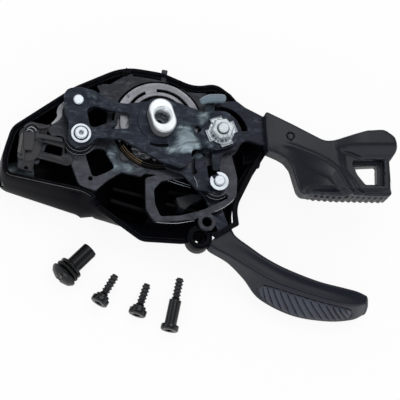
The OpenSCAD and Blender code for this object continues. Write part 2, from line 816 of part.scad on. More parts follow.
// the paddle's section at one station, with its four edges eased by a chamfer
function paddle_section(u) =
    let (
        s = station(u), far = s[0], near = s[1], foot = s[2], zt = s[3], zb = s[4],
        back = mix(far, foot, 0.16),
        top_far = [far[0], far[1], zt], top_near = [near[0], near[1], zt],
        low_near = [foot[0], foot[1], zb], low_far = [back[0], back[1], zb + 0.3],
        quad = [top_far, low_far, low_near, top_near]
    )
    [for (k = [0 : 3])
        each [mix(quad[k], quad[(k + 3) % 4], 0.14), mix(quad[k], quad[(k + 1) % 4], 0.14)]];

module paddle_skin() {
    count = (len(paddle_stations) - 1) * paddle_steps;
    sections = [for (i = [0 : count]) paddle_section(i / paddle_steps)];
    m = len(sections[0]);
    polyhedron(
        points = [for (s = sections) each s],
        faces = concat(
            [[for (i = [m - 1 : -1 : 0]) i]],
            [for (k = [0 : count - 1]) for (i = [0 : m - 1])
                let (j = (i + 1) % m) [k * m + i, k * m + j, (k + 1) * m + j, (k + 1) * m + i]],
            [[for (i = [0 : m - 1]) count * m + i]]
        ),
        convexity = 6
    );
}

module thumb_paddle() {
    color(black_plastic)
        difference() {
            paddle_skin();
            strip(arm_points, arm_w + 2 * touch, lever_bot - touch, lever_top + touch);
        }
}

// a point on the thumb face: along the stations, down the face, out from the face
function thumb_face(u, v, out) =
    let (
        s = station(u),
        top = [s[1][0], s[1][1], s[3]], low = [s[2][0], s[2][1], s[4]],
        t = station(min(u + 0.05, 7.9)),
        along = unit([t[1][0] - s[1][0], t[1][1] - s[1][1], 0]),
        n = unit(cross(along, unit(low - top)))
    )
    mix(top, low, v) - out * n;

grip_from = 3.75;
grip_to = 6.95;
grip_gap = 0.08;

module thumb_grip() {
    count = grip_ribs * 4;
    // the grip narrows at both ends, as an oval
    function half_v(t) = 0.33 * sqrt(max(0.05, 1 - pow(abs(2 * t - 1), 3)));
    function rise(i) = grip_gap + grip_t + ((i % 4 == 1 || i % 4 == 2) ? grip_rib_h : 0);
    rows = [for (i = [0 : count])
        let (t = i / count, u = mix(grip_from, grip_to, t), h = half_v(t))
        each [thumb_face(u, 0.52 - h, grip_gap), thumb_face(u + 0.06, 0.52 + h, grip_gap),
              thumb_face(u + 0.06, 0.52 + h, rise(i)), thumb_face(u, 0.52 - h, rise(i))]];
    color([0.2, 0.2, 0.22])
        polyhedron(
            points = rows,
            faces = concat(
                [[0, 1, 2, 3]],
                [for (k = [0 : count - 1]) for (i = [0 : 3])
                    let (j = (i + 1) % 4) [k * 4 + j, k * 4 + i, (k + 1) * 4 + i, (k + 1) * 4 + j]],
                [[for (i = [3 : -1 : 0]) count * 4 + i]]
            ),
            convexity = 6
        );
}

module winding_pawl_pin() {
    color(bright_steel) {
        disc(pin_at, 1, lever_bot, lever_top);
        disc(pin_at, 0.8, lever_top, lever_top + 1.7);
    }
}

// the winding pawl, drawn with X pointing outwards from the axle
module winding_pawl() {
    z0 = lever_top + 0.3;
    z1 = z0 + 1.2;
    color(mid_steel)
        difference() {
            rotate(pin_angle)
                translate([pin_r, 0, 0]) {
                    disc([0, 0], 1.4, z0, z1);
                    plate([[-0.8, -0.9, 0.3], [1.2, -0.4, 0.4], [0.4, 2.6, 0.8], [-2.0, 4.6, 0.3], [-2.6, 3.4, 0.2], [-1.4, 1.8, 0.5]],
                          z0, z1, 3);
                }
            hole(pin_at, 0.8 + running, z0, z1);
        }
}

// ---- release lever ---------------------------------------------------------------
release_path = [
    [13.2, 2.4, 1], [14.4, 5.2, 1.6], [18.8, 6.6, 3], [22.6, 6.6, 0.6], [24.8, 4.8, 1], [28.4, 2.9, 2],
    [30.8, 1.6, 1.2], [37.4, -2.4, 0.5], [37.4, -5.6, 0.5], [30.4, -6.6, 2], [24, -4.8, 2], [21.6, -7.6, 1.6], [17.6, -8.8, 2], [12, -6.6, 2]
];

finger_path = [[19.6, -6.8, 1], [17.3, -9.8, 3], [16.2, -13.7, 0.9], [14.5, -14, 0.7], [14.3, -10.4, 3], [14.8, -5.6, 1]];

module release_plate() {
    color([0.13, 0.13, 0.16])
        difference() {
            union() {
                plate(release_path, release_bot, release_top, 5);
                disc(release_post, 5.6, release_bot, release_top);
                plate(finger_path, release_bot, release_top, 4);
            }
            hole(release_post, release_axle_r + running, release_bot, release_top);
            at(release_post)
                translate([0, 0, release_bot - 1])
                    sector(6.5, 8.1, 8, 100, 0, 4);
        }
}

pad_top = release_top + 4.4;
pad_bot = guard_top + 0.4;
pad_path = [
    [30.6, 2.4, 0.8], [37, -0.8, 6], [45, -5.2, 6], [53, -9.4, 3], [65.2, -11.2, 1], [65.4, -22.4, 1],
    [41.2, -22.4, 1.2], [38.2, -19.4, 1.6], [37.4, -12.4, 4], [34.6, -9.4, 3], [30.4, -8.0, 1]
];
flange_path = [
    [44.6, -5.2, 2], [47.5, -6.5, 5], [60.6, -3.2, 4], [66.7, -6, 2.6], [66.6, -11, 2.2], [63.6, -12.4, 2], [52.6, -12.6, 3], [46, -10.4, 3]
];
pocket_path = [[54.6, -12.5, 0.8], [61.9, -12.4, 0.6], [61.6, -18.2, 0.6], [57.4, -18.2, 1.8], [55.4, -15.6, 3]];

module release_pad() {
    color(black_plastic)
        difference() {
            union() {
                plate(pad_path, pad_bot, pad_top - 1.4, 6);
                plate([[54, -9.8, 1], [65.2, -11.2, 1], [65.4, -22.4, 1], [41.4, -22.4, 1], [40.8, -20.6, 1], [52.6, -20.4, 1]],
                      pad_bot, pad_top, 6);
                plate(flange_path, pad_top - 3, pad_top + 1.4, 6);
                for (i = [0 : pad_ribs - 1])
                    translate([mix(43, 63.6, i / (pad_ribs - 1)), -22.4, pad_bot + 0.3])
                        cylinder(r = 0.42, h = pad_top - pad_bot - 0.6, $fn = 16);
            }
            plate(pocket_path, pad_bot - 1, pad_top + 4, 6);
            plate([[29, 2.7, 0.1], [30.8, 1.66, 0.1], [37.44, -2.38, 0.1], [37.44, -5.64, 0.1], [29, -6.84, 0.1]],
                  release_bot - touch, release_top + touch, 1);
            translate([45.8, -7.2, pad_top - 1.6])
                cylinder(r = 0.4, h = 1);
        }
}

// ---- pawls -----------------------------------------------------------------------
module holding_pawl() {
    color(dark_steel)
        difference() {
            union() {
                disc(clip_post, 2.7, index_bot, index_top);
                plate([[14.4, -18.8, 0.8], [13.1, -15.4, 1], [12.9, -12.4, 0.8], [11.6, -8.5, 0.8], [9.5, -9.4, 0.8],
                       [9.4, -13.1, 0.8], [10.2, -14.4, 0.5], [9, -15.1, 0.6], [7.6, -13.2, 0.8], [2, -11.9, 0.6],
                       [0.6, -11.75, 0.2], [1.2, -13.2, 0.8], [6, -15.2, 1.2], [9.6, -19.4, 1.2], [14.8, -20.2, 1]],
                      index_bot, index_top, 4);
            }
            hole(clip_post, 1.5 + running, index_bot, index_top);
        }
}

module stop_pawl() {
    z0 = index_bot;
    z1 = index_top;
    color(dark_steel)
        difference() {
            union() {
                disc(lower_post, 3.4, z0, z1);
                plate([[-23.4, -1, 1.4], [-17.6, -1.4, 2], [-12.4, 0.8, 0.4], [-11.5, 2.2, 0.2], [-11.7, -0.4, 0.6], [-15.6, -3.6, 2],
                       [-18.8, -6.6, 1]], z0, z1, 4);
            }
            hole(lower_post, 2 + running, z0, z1);
        }
}

// ---- loose pieces, laid beside the shifter -----------------------------------------
plug_at = [-27.6, -41.3];
plug_aim = 43;
plug_head_d = 8;

module lying(p, aim, r) {
    translate([p[0], p[1], floor_out + r])
        rotate([0, 90, aim])
            children();
}

module port_plug() {
    color(black_plastic)
        lying(plug_at, plug_aim, plug_head_d / 2)
            difference() {
                rotate_extrude()
                    polygon([[0, 0], [1.6, -0.5], [3.2, 0.2], [plug_head_d / 2, 1.2], [plug_head_d / 2, 1.8], [2.5, 2.2],
                             [2.5, 3.6], [3.5, 3.8], [3.5, 4.6], [plug_d / 2, 4.9],
                             [plug_d / 2, 4.9 + plug_l - 0.15], [plug_d / 2 - 0.15, 4.9 + plug_l], [0, 4.9 + plug_l]]);
                translate([-0.5, -4, 4.9 + 1])
                    cube([1, 8, plug_l]);
                translate([-3, -0.4, -1])
                    cube([6, 0.8, 1.2]);
            }
}

module plug_seal() {
    color([0.12, 0.12, 0.13])
        lying(plug_at, plug_aim, plug_head_d / 2)
            translate([0, 0, 2.9])
                rotate_extrude()
                    translate([3.12, 0])
                        circle(r = 0.58, $fn = 24);
}

module thread(d, l, pitch) {
    turns = floor(l / pitch);
    cylinder(d = d * 0.72, h = l);
    for (i = [0 : turns - 1])
        translate([0, 0, pitch * (i + 0.2)]) {
            cylinder(d1 = d * 0.7, d2 = d, h = pitch * 0.35);
            translate([0, 0, pitch * 0.35])
                cylinder(d1 = d, d2 = d * 0.7, h = pitch * 0.35);
        }
}

module screw_head(d, h) {
    difference() {
        union() {
            translate([0, 0, 0.3])
                cylinder(d = d, h = h - 0.3);
            cylinder(d1 = d - 0.6, d2 = d, h = 0.3);
        }
        translate([0, 0, -1])
            cylinder(d = d * 0.46, h = 2.1, $fn = 6);
    }
}

module short_screw() {
    screw_head(screw_head_d, 1.7);
    translate([0, 0, 1.7])
        cylinder(d = screw_d + 1.3, h = 0.9);
    translate([0, 0, 2.6])
        thread(screw_d, short_screw_l - 0.9, 1.05);
}

module cover_screws() {
    color([0.1, 0.1, 0.1]) {
        lying([-17.1, -48.2], 57, screw_head_d / 2)
            short_screw();
        lying([-6.6, -51.7], 69, screw_head_d / 2)
            short_screw();
    }
}

module shoulder_screw() {
    shank = 7.2;
    color([0.1, 0.1, 0.1])
        lying([2.3, -56.2], 75.5, screw_head_d / 2) {
            screw_head(screw_head_d, 1.6);
            translate([0, 0, 1.6])
                cylinder(d = 3.4, h = shank);
            translate([0, 0, 1.6 + shank])
                thread(screw_d, long_screw_l - shank, 1.05);
        }
}

upper_shell();
lever_guard();
cable_guide();
casing_collar();
base_plate();
support_plate();
clamp_nut();
main_axle();
plate_spacers();
upper_rivet();
lower_rivet();
lower_rivet_washer();
release_axle();
axle_spacers();
lock_washer();
release_nut();
pawl_post();
post_clip();
stop_bumper();
lever_return_spring();
spool_spring();
stop_pawl_spring();
holding_pawl_spring();
release_spring();
index_wheel();
winding_ratchet();
hub_sleeve();
cable_spool();
lever_plate();
thumb_paddle();
thumb_grip();
winding_pawl_pin();
winding_pawl();
release_plate();
release_pad();
holding_pawl();
stop_pawl();
port_plug();
plug_seal();
cover_screws();
shoulder_screw();
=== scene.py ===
# %% [markdown]
# # An opened thumb shifter for a bicycle
#
# The real object is a shifter pod that mounts on a flat handlebar. Its bottom cover is off, so the
# black moulded shell lies open and shows the ratchet, the stamped plates, the springs and the
# grease. Two levers come out of it on the right: a long thumb lever for winding the cable in, and
# a release pad. A port plug and three screws of the cover lie in front of it.
#
# The exact solids come packed in model.glb as a fixed frame. This lesson dresses them: stamped and
# turned pieces keep their solids and get rounded edges and a finish, and the moulded and sprung
# pieces are modelled again in mesh code over theirs.

# %% Load the frame
import math
import bpy
import bmesh
import numpy as np
from mathutils import Matrix, Vector


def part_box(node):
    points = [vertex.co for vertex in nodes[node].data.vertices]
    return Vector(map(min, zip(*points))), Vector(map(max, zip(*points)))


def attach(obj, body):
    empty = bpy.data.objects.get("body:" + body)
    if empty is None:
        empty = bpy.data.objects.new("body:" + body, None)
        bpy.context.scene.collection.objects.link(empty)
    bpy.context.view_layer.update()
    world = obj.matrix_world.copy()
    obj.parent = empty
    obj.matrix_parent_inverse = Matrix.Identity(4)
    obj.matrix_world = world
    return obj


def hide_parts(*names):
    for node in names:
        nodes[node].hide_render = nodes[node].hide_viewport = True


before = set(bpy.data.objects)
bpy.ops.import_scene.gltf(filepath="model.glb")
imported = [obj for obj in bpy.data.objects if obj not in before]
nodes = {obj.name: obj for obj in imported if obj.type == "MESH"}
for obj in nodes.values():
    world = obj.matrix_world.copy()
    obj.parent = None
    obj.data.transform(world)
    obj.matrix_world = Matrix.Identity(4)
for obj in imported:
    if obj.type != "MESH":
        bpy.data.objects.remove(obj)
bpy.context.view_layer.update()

# %% [markdown]
# Lengths in this lesson are written in millimetres, as on a drawing of the shifter, and turned
# into metres where a mesh is made. The heights repeat those of the solids: zero is the top face of
# the clamp nut, and everything lies below it.

# %% Scale, heights and places
MM = 0.001
floor_z, guide_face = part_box("upper_shell")[0].z / MM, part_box("cable_guide")[1].z / MM
base_top, base_foot = -9.2, -10.8
hub, lower_post, clip_post, release_post = (0.0, 0.0), (-22.2, -4.1), (15.6, -17.6), (17.0, -3.2)
release_at = [(low + high) / 2 / MM for low, high in zip(*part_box("release_axle"))][:2]
print("floor", floor_z, "guide", guide_face, "release axle", release_at)

# %% [markdown]
# ## Working in meshes
#
# Every made piece goes through one helper. It takes points in millimetres and faces, makes the
# mesh, shades it smooth, and lets the piece ride on a body of the frame. Rounded edges come from
# a Bevel modifier, because a moulded or stamped edge is never sharp and it is the rounding that
# catches the light. The modifier stays live, so its width can still be changed.

# %% A piece from points
made_of = {}


def linked(name, data):
    made = bpy.data.objects.new(name, data)
    bpy.context.scene.collection.objects.link(made)
    return made


def shade_smooth(mesh):
    for p in mesh.polygons:
        p.use_smooth = True


def round_edges(thing, width, segments=2, angle=32):
    bevel = thing.modifiers.new("rounded_edges", "BEVEL")
    bevel.width = width * MM
    bevel.segments = segments
    bevel.limit_method = "ANGLE"
    bevel.angle_limit = math.radians(angle)
    bevel.use_clamp_overlap = False
    bevel.harden_normals = True


def piece(name, points, faces, material, body="housing", edge=0.0, sharp=35):
    mesh = bpy.data.meshes.new(name)
    mesh.from_pydata([[c * MM for c in p] for p in points], [], faces)
    mesh.validate()
    mesh.update()
    bm = bmesh.new()
    bm.from_mesh(mesh)
    bmesh.ops.recalc_face_normals(bm, faces=bm.faces)
    bm.to_mesh(mesh)
    bm.free()
    shade_smooth(mesh)
    made = linked(name, mesh)
    mesh.materials.append(made_of[material])
    mesh.set_sharp_from_angle(angle=math.radians(sharp))
    if edge:
        round_edges(made, edge)
    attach(made, body)
    return made


# %% [markdown]
# Most forms are rings of points joined by quads: a plate is two outlines, a turned part a stack
# of circles, a wire a row of sections. Two short functions number those faces once for all.

# %% Faces between rings
def loft_faces(rings, around, closed=False):
    faces = []
    for i in range(rings if closed else rings - 1):
        a, b = i * around, (i + 1) % rings * around
        faces += [[a + k, a + (k + 1) % around, b + (k + 1) % around, b + k] for k in range(around)]
    return faces


def end_faces(rings, around):
    return [list(range(around))[::-1], [(rings - 1) * around + k for k in range(around)]]


def unit(v):
    return v / np.linalg.norm(v)


def to_left(v):
    return np.array([-v[1], v[0]])


# %% [markdown]
# Stamped plates and moulded ribs are outlines with rounded corners, pushed up to a thickness. A
# corner is written as its place and its radius. Blender could do this with curves, but a short
# function for an arc keeps the outline readable.

# %% Outlines with rounded corners
FLAT_CORNER, EDGE_SHARE = math.radians(88), 0.47


def rounded(path, steps=5):
    count, out = len(path), []
    for i, (*_, radius) in enumerate(path):
        before, here, after = (np.array(path[k % count][:2], float) for k in (i - 1, i, i + 1))
        u, v = before - here, after - here
        lu, lv = np.linalg.norm(u), np.linalg.norm(v)
        u, v = u / lu, v / lv
        half = math.acos(max(-1, min(1, float(u @ v)))) / 2
        if radius <= 0 or half > FLAT_CORNER:
            out.append(here)
            continue
        reach = min(radius / math.tan(half), EDGE_SHARE * min(lu, lv))
        radius = reach * math.tan(half)
        centre = here + unit(u + v) * radius / math.sin(half)
        start, end = here + u * reach - centre, here + v * reach - centre
        a0 = math.atan2(start[1], start[0])
        sweep = (math.atan2(end[1], end[0]) - a0 + math.pi) % (2 * math.pi) - math.pi
        out += [centre + radius * np.array([math.cos(a), math.sin(a)])
                for a in (a0 + sweep * k / steps for k in range(steps + 1))]
    return out


def prism(name, outline, z0, z1, material, body="housing", edge=0.12):
    count = len(outline)
    points = [[p[0], p[1], z] for z in (z0, z1) for p in outline]
    return piece(name, points, end_faces(2, count) + loft_faces(2, count), material, body, edge)


# %% [markdown]
# Turned pieces, springs and wires are round sections carried along a line. For a wire the section
# is kept upright from point to point, so the tube doesn't twist, and its ends are closed.

# %% Turned shapes and wires
def on_circle(centre, radius, turn, z):
    return [centre[0] + radius * math.cos(turn), centre[1] + radius * math.sin(turn), z]


def turned(name, profile, centre, material, body="housing", around=64, edge=0.0, closed=True):
    rings = len(profile)
    points = [on_circle(centre, r, 2 * math.pi * k / around, z) for r, z in profile for k in range(around)]
    faces = loft_faces(rings, around, closed) + ([] if closed else end_faces(rings, around))
    return piece(name, points, faces, material, body, edge)


def wire(name, line, radius, material, sides=10, taper=None):
    line = [np.array(p, float) for p in line]
    points, count, side = [], len(line), None
    for i, here in enumerate(line):
        along = unit(line[min(i + 1, count - 1)] - line[max(i - 1, 0)])
        if side is None:
            side = np.cross(along, [0, 0, 1.0])
        side = unit(side - along * (side @ along))
        up = np.cross(side, along)
        r = radius * (taper(i / (count - 1)) if taper else 1)
        points += [here + r * (math.cos(a) * side + math.sin(a) * up)
                   for a in (2 * math.pi * k / sides for k in range(sides))]
    return piece(name, points, loft_faces(count, sides) + end_faces(count, sides), material, sharp=60)


def catmull(a, b, c, d, t):
    return 0.5 * (2 * b + (c - a) * t + (2 * a - 5 * b + 4 * c - d) * t * t + (3 * b - a - 3 * c + d) * t ** 3)


def smooth_line(points, steps=8):
    points = [np.array(p, float) for p in points]
    out, last = [], len(points) - 1
    for i in range(last):
        four = points[max(i - 1, 0)], points[i], points[i + 1], points[min(i + 2, last)]
        out += [catmull(*four, k / steps) for k in range(steps)]
    return out + [points[-1]]


def ease(x, low, high):
    t = np.clip((np.asarray(x, float) - low) / (high - low), 0, 1)
    return t * t * (3 - 2 * t)


print("helpers ready")

# %% [markdown]
# ## Finishes
#
# Effects that several materials share are node groups: lighter edges, partly wear and partly painted
# highlight, the fine grain of a moulded skin, painted shade in corners, rolling and turning marks in
# steel, and the film of grease. A group only hands out masks and heights; the shader itself stays in
# each material, with its plain values on its own sockets.

# %% Node helpers
def add(tree, kind, **values):
    """A shader node. in_LABEL sets an input or links a socket to it, the rest are properties."""
    made = tree.nodes.new("ShaderNode" + kind)
    for key, value in values.items():
        if not key.startswith("in_"):
            setattr(made, key, value)
            continue
        label = key[3:]
        socket = made.inputs[int(label) if label.isdigit() else label]
        if isinstance(value, bpy.types.NodeSocket):
            tree.links.new(value, socket)
        else:
            socket.default_value = value
    return made


def join(tree, *pairs):
    for a, b in pairs:
        tree.links.new(a, b)


def calc(tree, operation, a, b, clamp=False):
    return add(tree, "Math", operation=operation, use_clamp=clamp, in_0=a, in_1=b).outputs[0]


def ramp(tree, value, low, high, start=0.0, end=1.0):
    """A soft step: start below low and end above high."""
    return add(tree, "MapRange", interpolation_type="SMOOTHSTEP", in_0=value, in_1=low, in_2=high,
               in_3=start, in_4=end).outputs[0]


def mix(tree, share, one, other):
    return add(tree, "MixRGB", in_0=share, in_1=one, in_2=other).outputs[0]


def noise(tree, place, scale, **values):
    return add(tree, "TexNoise", in_Vector=place, in_Scale=scale, **values).outputs[0]


def pulled_noise(tree, place, turn, scale, **values):
    """Noise that is longer one way than the other."""
    pulled = add(tree, "Mapping", in_Vector=place, in_Rotation=(0, 0, turn), in_Scale=scale)
    return noise(tree, pulled.outputs[0], 1.0, **values)


def object_place(tree):
    return add(tree, "TexCoord").outputs["Object"]


def new_group(name, inputs, outputs):
    tree = bpy.data.node_groups.new(name, "ShaderNodeTree")
    for label, value in inputs.items():
        kind = "NodeSocketVector" if isinstance(value, tuple) else "NodeSocketFloat"
        tree.interface.new_socket(label, in_out="INPUT", socket_type=kind).default_value = value
    for label in outputs:
        tree.interface.new_socket(label, in_out="OUTPUT", socket_type="NodeSocketFloat")
    print("group", name)
    return tree, tree.nodes.new("NodeGroupInput").outputs, tree.nodes.new("NodeGroupOutput").inputs


# %% [markdown]
# Edges of handled metal and plastic go lighter where they rub, and the same lighter line is also
# painted highlight, standing in for the light that rounded edges catch. The Bevel node gives the
# normal that a rounded edge would have; where it differs from the true normal there is an edge, and a
# noise breaks the line up so that it looks rubbed and not drawn.

# %% Shared effect: edge wear and painted highlight
edge_wear_and_highlight, given, out = new_group("edge_wear_and_highlight", {"Width": 0.0003}, ["Mask"])
soft_normal = add(edge_wear_and_highlight, "Bevel", samples=6, in_Radius=given["Width"]).outputs[0]
true_normal = add(edge_wear_and_highlight, "NewGeometry").outputs["Normal"]
agree = add(edge_wear_and_highlight, "VectorMath", operation="DOT_PRODUCT", in_0=soft_normal, in_1=true_normal)
bend = calc(edge_wear_and_highlight, "SUBTRACT", 1.0, agree.outputs["Value"])
bend = calc(edge_wear_and_highlight, "MULTIPLY", bend, 5.0, clamp=True)
broken = noise(edge_wear_and_highlight, object_place(edge_wear_and_highlight), 900.0, in_Detail=3.0)
broken = calc(edge_wear_and_highlight, "SUBTRACT", broken, 0.32, clamp=True)
broken = calc(edge_wear_and_highlight, "MULTIPLY", broken, 4.0, clamp=True)
join(edge_wear_and_highlight, (calc(edge_wear_and_highlight, "MULTIPLY", bend, broken, clamp=True), out["Mask"]))

# %% [markdown]
# Moulded nylon and ABS carry the fine spark-eroded grain of the mould, and a slow mottle where
# the surface has been handled. Two noises at different scales give a height and a mottle mask.

# %% Shared effect: moulded skin
moulded_skin, given, out = new_group(
    "moulded_skin", {"Scale": 2500.0, "Patches": 120.0}, ["Height", "Mottle"])
place = object_place(moulded_skin)
join(moulded_skin,
     (noise(moulded_skin, place, given["Scale"], in_Detail=4.0, in_Roughness=0.6), out["Height"]),
     (noise(moulded_skin, place, given["Patches"], in_Detail=2.0), out["Mottle"]))

# %% [markdown]
# Grooves, pockets and the feet of ribs are given painted shade: their colour is darkened beyond the
# shadow that the lamps cast. Ambient Occlusion tells how closed in a point is, and gives that mask.

# %% Shared effect: painted shade in cavities
painted_cavity_shade, given, out = new_group("painted_cavity_shade", {"Reach": 0.001}, ["Mask"])
closeness = add(painted_cavity_shade, "AmbientOcclusion", samples=8, in_Distance=given["Reach"])
join(painted_cavity_shade, (ramp(painted_cavity_shade, closeness.outputs["AO"], 0.92, 0.35), out["Mask"]))

# %% [markdown]
# Strip steel keeps fine lines from rolling, and a turned face keeps rings from the tool. One
# group gives both: the lines run along X, and the rings go round a given centre. Old stains in
# the steel are its mottle.

# %% Shared effect: steel marks
steel_marks, given, out = new_group(
    "steel_marks", {"Centre": (0, 0, 0), "Rings": 0.0}, ["Height", "Mottle"])
place = object_place(steel_marks)
offset = add(steel_marks, "VectorMath", operation="SUBTRACT", in_0=place, in_1=given["Centre"])
flat = add(steel_marks, "VectorMath", operation="MULTIPLY", in_0=offset.outputs[0], in_1=(1, 1, 0))
reach = add(steel_marks, "VectorMath", operation="LENGTH", in_0=flat.outputs[0])
rings = add(steel_marks, "TexNoise", noise_dimensions="1D", in_W=reach.outputs["Value"],
            in_Detail=2.0, in_Scale=9000.0)
lines = pulled_noise(steel_marks, place, 0, (500, 5500, 5500), in_Detail=3.0)
ringed = calc(steel_marks, "MULTIPLY", rings.outputs[0], given["Rings"])
lined = calc(steel_marks, "MULTIPLY", lines, calc(steel_marks, "SUBTRACT", 1.0, given["Rings"]))
join(steel_marks, (calc(steel_marks, "ADD", ringed, lined), out["Height"]),
     (noise(steel_marks, place, 260.0, in_Detail=5.0, in_Roughness=0.65), out["Mottle"]))

# %% [markdown]
# The mechanism is packed with pale blue-grey grease, thick round the nut and along the pawls and
# thin elsewhere. Each smear is a soft spot seen from above, given by its centre, its radius and
# its strength. The spots are added, and a noise tears their borders. Two pulled noises draw the
# streaks of a thin film and the pale folds of a thick one.

# %% Shared effect: grease film
smears = [
    (6.5, -3.5, 4.4, 1.0), (8.5, -7.0, 3.4, 1.0), (4.2, -8.4, 3.0, 0.75), (10.2, -9.2, 2.4, 0.7),
    (1.2, -8.6, 2.4, 0.5), (-12.8, -7.2, 2.2, 0.85), (-15.6, -9.4, 3.0, 1.0), (-12.6, -11.4, 3.0, 1.0),
    (-9.0, -12.6, 2.6, 0.8), (-5.2, -13.4, 2.2, 0.6), (-18.6, -6.6, 2.2, 0.5), (-13.2, 4.4, 2.0, 0.4),
    (-19.0, 7.4, 2.6, 0.4), (12.0, 0.6, 2.6, 1.0), (13.6, -6.6, 2.0, 0.7), (20.2, -2.0, 2.4, 0.35),
    (13.5, 3.4, 2.2, 0.5), (-4.8, -2.2, 2.2, 0.35), (-8.2, 0.8, 2.4, 0.3), (-1.0, 6.0, 2.2, 0.35),
    (6.2, 4.6, 2.4, 0.4), (-23.6, -8.6, 1.6, 0.6)]
grease_film, given, out = new_group("grease_film", {"Cover": 1.0}, ["Mask", "Height", "Streaks", "Pale"])
place = object_place(grease_film)
flat = add(grease_film, "VectorMath", operation="MULTIPLY", in_0=place, in_1=(1, 1, 0)).outputs[0]
total = None
for x, y, radius, strength in smears:
    away = add(grease_film, "VectorMath", operation="DISTANCE", in_0=flat, in_1=(x * MM, y * MM, 0))
    spot = ramp(grease_film, away.outputs["Value"], radius * 1.25 * MM, radius * 0.2 * MM, 0.0, strength)
    total = spot if total is None else calc(grease_film, "ADD", total, spot)
covered = calc(grease_film, "MULTIPLY", total, given["Cover"])
torn = noise(grease_film, place, 240.0, in_Detail=5.0, in_Roughness=0.6, in_Distortion=1.2)
torn = calc(grease_film, "MULTIPLY", calc(grease_film, "SUBTRACT", torn, 0.5), 1.6)
mask = ramp(grease_film, calc(grease_film, "ADD", covered, torn), 0.15, 0.95)
lit_turns = pulled_noise(grease_film, place, 0.6, (260, 620, 620),
                     in_Detail=6.0, in_Roughness=0.7, in_Distortion=0.9)
folds = pulled_noise(grease_film, place, 0.5, (150, 290, 290),
                     in_Detail=3.0, in_Roughness=0.5, in_Distortion=1.6)
thick = calc(grease_film, "MULTIPLY", calc(grease_film, "MINIMUM", covered, 1.2), 0.22)
height = calc(grease_film, "MULTIPLY", mask, calc(grease_film, "ADD", folds, 0.3))
streaks = ramp(grease_film, lit_turns, 0.47, 0.74)
pale = ramp(grease_film, calc(grease_film, "ADD", thick, folds), 0.54, 0.96)
join(grease_film, (mask, out["Mask"]), (height, out["Height"]), (streaks, out["Streaks"]), (pale, out["Pale"]))
print("smears", len(smears))

# %% [markdown]
# A finish is a Principled shader with its colours mixed by those masks. This small maker places
# the groups that a finish asks for, and leaves every plain value on the shader's own socket.

# %% The maker of finishes
thin_grease, thick_grease = (0.045, 0.062, 0.080, 1), (0.33, 0.42, 0.47, 1)
film_streak, film_rough = (0.115, 0.135, 0.165, 1), (0.2, 0.2, 0.2, 1)


def shade(colour, factor=1.0):
    return (*[c * factor for c in colour], 1)


def finish(name, colour, worn_and_lit_colour, roughness, metallic=0.0, spread=0.1, grain=0.15, grain_scale=2500.0, wear_and_highlight=0.5,
           edge_width=0.25, grease=0.0, streaks=0.0, marks=None, specular=0.5, stain=0.25, patches=120.0,
           cavity_shade=0.0, shade_reach=0.8, darker_to_back=0.0):
    material = made_of[name] = bpy.data.materials.new(name)
    material.use_nodes = True
    tree = material.node_tree
    shader = tree.nodes["Principled BSDF"]
    shader.inputs["Metallic"].default_value = metallic
    shader.inputs["Specular IOR Level"].default_value = specular
    if marks:
        (x, y), rings = marks
        skin = add(tree, "Group", node_tree=steel_marks, in_Centre=(x * MM, y * MM, 0), in_Rings=rings)
    else:
        skin = add(tree, "Group", node_tree=moulded_skin, in_Scale=grain_scale, in_Patches=patches)
    mottle = skin.outputs["Mottle"]
    patchy = calc(tree, "MULTIPLY", calc(tree, "SUBTRACT", mottle, 0.35, clamp=True), 2.5, clamp=True)
    tone = mix(tree, patchy, shade(colour), shade(colour, 1 - stain))
    # Edges are lightened towards the worn colour: partly wear, partly painted highlight.
    rubbed_and_lit = add(tree, "Group", node_tree=edge_wear_and_highlight, in_Width=edge_width * MM).outputs["Mask"]
    tone = mix(tree, calc(tree, "MULTIPLY", rubbed_and_lit, wear_and_highlight), tone, shade(worn_and_lit_colour))
    rough = add(tree, "MapRange", in_0=mottle, in_3=roughness - spread, in_4=roughness + spread).outputs[0]
    # The colour darkens towards the back of the plate, where Y is larger.
    if darker_to_back:
        spot = add(tree, "SeparateXYZ", in_0=object_place(tree))
        tone = mix(tree, ramp(tree, spot.outputs["Y"], -14 * MM, 6 * MM, 0.0, darker_to_back), tone, shade(colour, 0.3))
    # Painted shade: closed-in points are darkened towards a fifth of the colour.
    if cavity_shade:
        closed = add(tree, "Group", node_tree=painted_cavity_shade, in_Reach=shade_reach * MM).outputs["Mask"]
        tone = mix(tree, calc(tree, "MULTIPLY", closed, cavity_shade), tone, shade(colour, 0.22))
    normal = add(tree, "Bump", in_Strength=grain, in_Distance=0.0001,
                 in_Height=skin.outputs["Height"]).outputs[0]
    if grease:
        film = add(tree, "Group", node_tree=grease_film, in_Cover=grease).outputs
        tone = mix(tree, calc(tree, "MULTIPLY", film["Streaks"], streaks), tone, film_streak)
        tone = mix(tree, film["Mask"], tone, mix(tree, film["Pale"], thin_grease, thick_grease))
        rough = mix(tree, film["Mask"], rough, film_rough)
        bare = calc(tree, "MULTIPLY", calc(tree, "SUBTRACT", 1.0, film["Mask"]), metallic)
        join(tree, (bare, shader.inputs["Metallic"]))
        normal = add(tree, "Bump", in_Strength=0.9, in_Distance=0.0006, in_Height=film["Height"],
                     in_Normal=normal).outputs[0]
    join(tree, (tone, shader.inputs["Base Color"]), (rough, shader.inputs["Roughness"]),
         (normal, shader.inputs["Normal"]))


print("shared effects", [group.name for group in bpy.data.node_groups])
